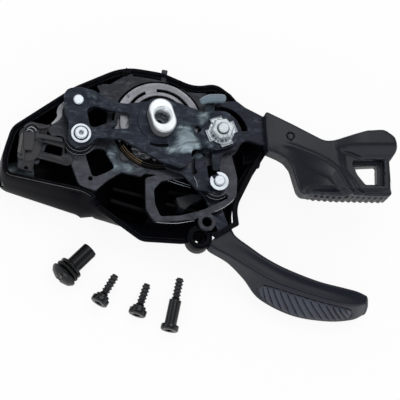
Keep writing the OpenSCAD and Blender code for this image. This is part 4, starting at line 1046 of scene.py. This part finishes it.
def helix(centre, radius, z0, pitch, turns, start=0, spread=0.0, per_turn=48):
    return [on_circle(centre, radius + spread * i / per_turn, math.radians(start) + 2 * math.pi * i / per_turn,
                      z0 + pitch * i / per_turn) for i in range(int(turns * per_turn) + 1)]


def spring(node, line, radius, material="spring_wire", runs=None):
    made = []
    for k, (start, end, material) in enumerate(runs or [(0, len(line), material)]):
        if end - start > 3:
            made.append(wire(f"{node}_wire_{k}", line[start:end], radius, material, sides=12))
    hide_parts(node)
    return len(made)


hub_line = helix(hub, 11.5, -8.9, -0.5, 2.9, hub_start, 0.42, hub_steps)
angles = [(hub_start + 360 / hub_steps * i) % 360 for i in range(len(hub_line))]
# Turns within the lit range get the bright bronze wire as painted highlight; the rest stay dark.
lit_turns = [lit_from <= angle <= lit_to for angle in angles]
runs, start = [], 0
for i in range(1, len(hub_line) + 1):
    if i == len(hub_line) or lit_turns[i] != lit_turns[start]:
        runs.append((max(start - 1, 0), i, "lit_bronze_wire" if lit_turns[start] else "spring_wire"))
        start = i
lengths = spring("lever_return_spring", hub_line, 0.23, runs=runs)
lengths += spring("spool_spring", helix(hub, 6.5, -19.5, 0, 2.6, 20, 1.2, 72), 0.29)
lengths += spring("stop_pawl_spring", helix(lower_post, 2.6, -8.9, 0.45, 2, 120), 0.2, "bright_wire")
lengths += spring("holding_pawl_spring", helix(clip_post, 2.4, -8.9, 0.45, 2, 300), 0.2, "bright_wire")
lengths += spring("release_spring", helix(release_post, 5.1, -8.93, 0, 0.85, 30, 0, 72), 0.24)
print("springs", lengths, "lengths of wire")

# %% [markdown]
# The outer turns of the two pawl springs and their legs show beside the plates as thin bright
# lines. They are drawn as wires too, thinning towards their ends.

# %% Turns and legs that show
def arc(centre, radius, start, end, z, rise=0.0, count=28):
    return [on_circle(centre, radius, math.radians(start + (end - start) * k / count), z + rise * k / count)
            for k in range(count + 1)]


def thin_ends(t):
    return 0.35 + 0.65 * math.sin(math.pi * min(max(t, 0.02), 0.98)) ** 0.6


shown = [
    (arc(lower_post, 3.75, 196, 332, -8.4, 0.2), 0.13, "bright_wire"),
    (arc(lower_post, 4.2, 190, 326, -8.6, 0.2), 0.12, "spring_wire"),
    (arc(lower_post, 4.65, 200, 322, -8.8, 0.2), 0.11, "bright_wire"),
    (arc(clip_post, 3.1, 205, 330, -8.3), 0.12, "bright_wire"),
    (arc(clip_post, 3.5, 212, 322, -8.6), 0.12, "spring_wire"),
    (arc(clip_post, 3.9, 222, 312, -8.9), 0.11, "bright_wire"),
    (smooth_line([(2.1, -16.0, -9.0), (4.7, -17.0, -9.0), (8.3, -18.1, -9.0)]), 0.1, "bright_wire"),
    (smooth_line([(3.6, -15.9, -8.9), (5.9, -16.7, -8.9), (8.3, -17.5, -8.9)]), 0.09, "bright_wire"),
    (smooth_line([(8.9, -15.7, -6.2), (9.6, -17.2, -6.3), (9.9, -18.6, -6.6)]), 0.2, "bright_wire")]
for k, (line, radius, material) in enumerate(shown):
    wire(f"spring_leg_{k}", line, radius, material, taper=thin_ends)
print("legs", len(shown))

# %% [markdown]
# ## The clamp nut
#
# The oval nut takes the bolt of the handlebar clamp. It is one closed skin: the oval in polar
# form outside, a rounded top edge, the countersunk mouth, and a real thread that winds down the
# bore, so the light catches each turn.

# %% Oval nut with its thread
nut_angle, nut_half, nut_round = math.radians(105), 1.6, 3.4
bore, thread_depth, thread_pitch, thread_top, thread_long, thread_rows = 2.5, 0.40, 0.8, -0.25, 4.25, 60


def oval_reach(turn, inset):
    c, s, r = abs(math.cos(turn - nut_angle)), abs(math.sin(turn - nut_angle)), nut_round - inset
    if s > 1e-6 and r * c / s <= nut_half:
        return r / s
    return nut_half * c + math.sqrt(r * r - (nut_half * s) ** 2)


def thread_reach(turn, z):
    return thread_depth * (1 - abs(((z / thread_pitch + turn / (2 * math.pi)) % 1.0) * 2 - 1) ** 1.3)


def oval_nut(around=144):
    turns = [2 * math.pi * k / around for k in range(around)]
    rows = [[(oval_reach(a, inset), z) for a in turns] for inset, z in
            ((0.25, -4.5), (0, -4.3), (0, -0.4), (0.04, -0.22), (0.13, -0.09), (0.26, -0.02), (0.42, 0.0))]
    rows += [[(r, z)] * around for r, z in ((2.68, 0.0), (2.62, -0.04), (2.56, -0.2))]
    for k in range(thread_rows + 1):
        z, grown = thread_top - thread_long * k / thread_rows, min(1.0, k / 4)
        rows.append([(bore - thread_reach(a, z) * grown, z) for a in turns])
    points = [on_circle(hub, r, a, z) for row in rows for (r, z), a in zip(row, turns)]
    return piece("oval_clamp_nut", points, loft_faces(len(rows), around, closed=True), "zinc_nut", sharp=26)


clamp_nut = oval_nut()
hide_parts("clamp_nut")
print("nut faces", len(clamp_nut.data.polygons))

# %% [markdown]
# ## The cable guide and the small forms
#
# The guide at the left end is a satin moulding with a raised block, a thin arch that leads the
# casing, a stiffening strip, a bar and a locating pin. A small fin stands on the rim of the shell.

# %% Raised forms of the guide
def band(line, width):
    """An outline that follows a line, width(s) wide at s of the way along it."""
    line = [p[:2] for p in smooth_line([(*p, 0) for p in line], 6)]
    left, other = [], []
    for i, here in enumerate(line):
        along = unit(line[min(i + 1, len(line) - 1)] - line[max(i - 1, 0)])
        across = to_left(along) * width(i / (len(line) - 1)) / 2
        left.append(here + across)
        other.append(here - across)
    return left + other[::-1]


fin = rounded([(-9.4, 15.6, 0.1), (-8.3, 17.0, 0.15), (-7.1, 16.1, 0.2), (-7.2, 15.4, 0.1)])
prism("rim_fin", fin, -9.4, -8.65, "shell_black", edge=0.1)
guide_forms = [
    ("guide_block", rounded([(-37.5, -2.8, 0.3), (-34.6, -2.9, 0.3), (-34.6, -4.3, 0.3), (-35.2, -8.0, 0.4),
                             (-37.6, -8.0, 0.4)]), -0.4, 0.35, "guide_black", 0.12),
    ("guide_arch", band([(-37.3, -1.6), (-36.6, -0.8), (-35.3, -0.3), (-34.1, -0.6), (-33.4, -1.3),
                         (-32.0, -1.4), (-30.4, -0.9)], lambda s: 0.7), -0.4, 0.3, "guide_black", 0.12),
    ("guide_strip", rounded([(-38.3, -3.1, 0.2), (-37.6, -3.0, 0.2), (-37.9, -5.2, 1), (-38.6, -8.8, 0.2),
                             (-39.4, -8.6, 0.2), (-38.8, -5.2, 1)]), -0.5, 0.2, "guide_light", 0.1),
    ("guide_upper_bar", rounded([(-34.4, -3.1, 0.3), (-31.8, -3.4, 1), (-27.0, -4.6, 0.4), (-26.8, -5.6, 0.4),
                                 (-32.2, -4.6, 1), (-34.4, -4.4, 0.3)]), -0.2, 0.16, "guide_black", 0.08)]
guide_bits = [prism(name, outline, guide_face + low, guide_face + high, material, edge=edge)
              for name, outline, low, high, material, edge in guide_forms]
pin_profile = [(1.0, -0.6), (1.0, 0.25), (0.85, 0.4), (0.45, 0.4), (0.4, 0.1), (0.4, -0.6)]
guide_bits.append(turned("guide_pin", [(r, guide_face + z) for r, z in pin_profile], (-38.4, -9.5),
                         "guide_black", around=32))
print("guide forms", len(guide_bits))

# %% [markdown]
# The plates were sheared, and their rolled-over edges catch the light as thin lines that swell in
# the middle; these are painted highlight, bright wires laid along the edges, and two more lie on the
# arch of the guide. Beside them are a lobe of the base plate in a pale grey that stands in for its lit
# side, the bright rim of the index wheel, a thin wire of painted highlight along the lip of the shell
# and a block on its floor. The bumper is a short length of rubber with rounded ends.

# %% Painted edge highlights and small forms
edge_high = guide_face + 0.05
edge_low = base_top - 0.06
bright_edges = [
    ([(-36.7, -1.9), (-35.5, -1.3), (-34.6, -1.6), (-34.0, -2.5)], edge_high, 0.16),
    ([(-36.9, -2.5), (-36.1, -2.1), (-35.4, -2.3), (-34.9, -2.8)], edge_high, 0.14),
    ([(-1.8, -27.9), (1.3, -28.2), (4.4, -28.2), (9.0, -27.5)], edge_low, 0.1),
    ([(14.9, -25.0), (17.7, -23.6), (19.7, -22.1), (20.6, -21.2)], edge_low, 0.11)]
# Painted highlight: thin bright wires along edges of the guide arch and of the base plate.
for k, (line, z, radius) in enumerate(bright_edges):
    line = smooth_line([(*p, z) for p in line])
    wire(f"bright_edge_{k}", line, radius, "edge_highlight_metal", sides=8, taper=thin_ends)
lobe = band([(-25.4, 7.6), (-25.7, 6.5), (-26.9, 5.2), (-27.4, 3.8), (-27.4, 2.6), (-28.2, 1.4), (-29.8, 0.1)],
            lambda s: 0.25 + 1.3 * math.sin(math.pi * s) ** 0.8)
# Painted highlight: a pale grey strip on the base plate's left edge stands in for its lit side.
prism("plate_lit_lobe", lobe, base_top - 0.3, base_top + 0.14, "lit_edge_grey")
rim_outer, rim_inner = (arc(hub, radius, -18, 204, 0, count=90) for radius in (12.35, 10.6))
rim_outline = rim_outer + rim_inner[::-1]
prism("index_wheel_rim", rim_outline, -8.6, -8.3, "wheel_steel", "spool", edge=0.1)


def bumper_taper(s):
    blunt_ends = max(0.05, 1 - abs(2 * min(max(s, 0.0), 1.0) - 1) ** 9) ** 0.5
    return (0.72 + 0.28 * min(1.0, s * 2.2)) * blunt_ends


bumper_line = smooth_line([(11.3, 5.0, -3.7), (13.2, 5.9, -3.4), (15.6, 6.15, -3.3), (18.6, 6.1, -3.3)], 14)
bumper = wire("rubber_bumper", bumper_line, 1.25, "bumper_rubber", sides=28, taper=bumper_taper)
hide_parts("stop_bumper")
lip_line = [q for q in tray_ring(1, 0.55, 0, lambda p: p[2]) if -42.5 < q[0] < -19 and q[1] < -13]
step_block = rounded([(4.9, -19.3, 0.6), (9.6, -18.2, 0.6), (12.2, -18.5, 0.5), (12.5, -19.9, 0.5),
                      (9.9, -20.9, 0.8), (7.6, -22.9, 0.6), (6.0, -22.2, 0.6)])
# Painted highlight: a thin pale wire along the inner lip of the shell.
wire("lip_shine", lip_line, 0.11, "guide_light", sides=8, taper=thin_ends)
prism("tray_block", step_block, tray_floor - 0.2, -14.6, "shell_greased", edge=0.35)
print("bright edges", len(bright_edges))

# %% [markdown]
# ## Light, floor and camera
#
# The shifter lies on a plain pale floor. A soft sky lights it evenly, with a large soft box
# above for the broad sheen on the plastics and a smaller one low in front for the edges.
# The camera stands in front and to the left, well above, and looks down through a long lens.

# %% Floor
white = (1, 1, 1, 1)


def plainly_seen(tree):
    """One for rays that come from the camera, straight or through glass."""
    rays = add(tree, "LightPath").outputs
    return calc(tree, "MAXIMUM", rays["Is Camera Ray"], rays["Is Transmission Ray"])


floor_material = bpy.data.materials.new("pale_floor")
floor_material.use_nodes = True
tree = floor_material.node_tree
paper = tree.nodes["Principled BSDF"]
paper.inputs["Base Color"].default_value = (0.96, 0.96, 0.96, 1)
paper.inputs["Roughness"].default_value = 0.9
paper.inputs["Specular IOR Level"].default_value = 0.0
glow = add(tree, "Emission", in_Color=white, in_Strength=1.0).outputs[0]
seen = calc(tree, "MULTIPLY", plainly_seen(tree), 0.9)
blend = add(tree, "MixShader", in_0=seen, in_1=paper.outputs[0], in_2=glow)
join(tree, (blend.outputs[0], tree.nodes["Material Output"].inputs["Surface"]))
half, floor_height = 900 * MM, floor_z * MM - 0.00003
floor_mesh = bpy.data.meshes.new("pale_floor")
floor_corners = [(x * half, y * half, floor_height) for x, y in ((-1, -1), (1, -1), (1, 1), (-1, 1))]
floor_mesh.from_pydata(floor_corners, [], [(0, 1, 2, 3)])
floor_mesh.materials.append(floor_material)
linked("pale_floor", floor_mesh)
print("floor at", round(floor_height / MM, 2))

# %% [markdown]
# A studio is white beside the object and darker above it, where the ceiling is. Mirror-like faces
# show that room: a flat plate stays dark while its rounded edges, which look to the sides, turn
# bright. So the sky has that shape for glossy rays.

# %% Sky
ceiling, ceiling_light = (0.15, 0.25, 0.955), 0.2
world = bpy.data.worlds.new("soft_sky")
bpy.context.scene.world = world
world.use_nodes = True
tree = world.node_tree
sky = tree.nodes["Background"]
sky.inputs["Color"].default_value = white
sky.inputs["Strength"].default_value = 0.80
towards = add(tree, "TexCoord").outputs["Generated"]
facing = add(tree, "VectorMath", operation="DOT_PRODUCT", in_0=towards, in_1=ceiling).outputs["Value"]
dimmed = ramp(tree, facing, 0.25, 0.9, 1.0, ceiling_light)
room = add(tree, "Background", in_Color=(0.90, 0.95, 1.0, 1), in_Strength=dimmed).outputs[0]
backdrop = add(tree, "Background", in_Color=white, in_Strength=1.0).outputs[0]
glossy = add(tree, "LightPath").outputs["Is Glossy Ray"]
shine = add(tree, "MixShader", in_0=glossy, in_1=sky.outputs[0], in_2=room).outputs[0]
pick = add(tree, "MixShader", in_0=plainly_seen(tree), in_1=shine, in_2=backdrop).outputs[0]
join(tree, (pick, tree.nodes["World Output"].inputs["Surface"]))
print("sky", world.name)

# %% [markdown]
# Two area lights stand for the soft boxes of a product table. A soft box lights like a window: the
# larger it is, the softer the shadow. Each is given by where it stands and what it looks at,
# because that is how one would set it up by hand.

# %% Lamps
def soft_box(name, place, aim, size, power):
    lamp = bpy.data.lights.new(name, "AREA")
    lamp.shape = "RECTANGLE"
    lamp.size, lamp.size_y = size[0] * MM, size[1] * MM
    lamp.energy = power
    made = linked(name, lamp)
    made.location = Vector(place) * MM
    made.rotation_euler = (Vector(place) - Vector(aim)).to_track_quat("Z", "Y").to_euler()


soft_box("overhead_box", (60, 160, 380), (5, -15, -10), (320, 240), 0.30)
soft_box("front_box", (-200, -300, 160), (5, -15, -10), (200, 120), 0.10)

# %% [markdown]
# The camera is given by three directions: the way to it from the shifter, the way to its right,
# and its up, which follows from these two. The long lens keeps the lines of the small object
# nearly parallel, and the Standard view leaves the colours as they were set.

# %% Camera
lens = bpy.data.cameras.new("bench_camera")
lens.sensor_width, lens.lens, lens.clip_end = 36, 136.08, 5
camera = linked("bench_camera", lens)
to_camera = Vector((-0.18674, -0.26669, 0.94552)).normalized()
right = Vector((0.98241, -0.05069, 0.17973)).normalized()
up = to_camera.cross(right)
stand = Vector((-67.387, -133.382, 387.118)) * MM
camera.matrix_world = Matrix([[right[k], up[k], to_camera[k], stand[k]] for k in range(3)] + [[0, 0, 0, 1]])
bpy.context.scene.camera = camera
bpy.context.scene.view_settings.view_transform = "Standard"
print("camera", [round(v, 4) for v in camera.location])
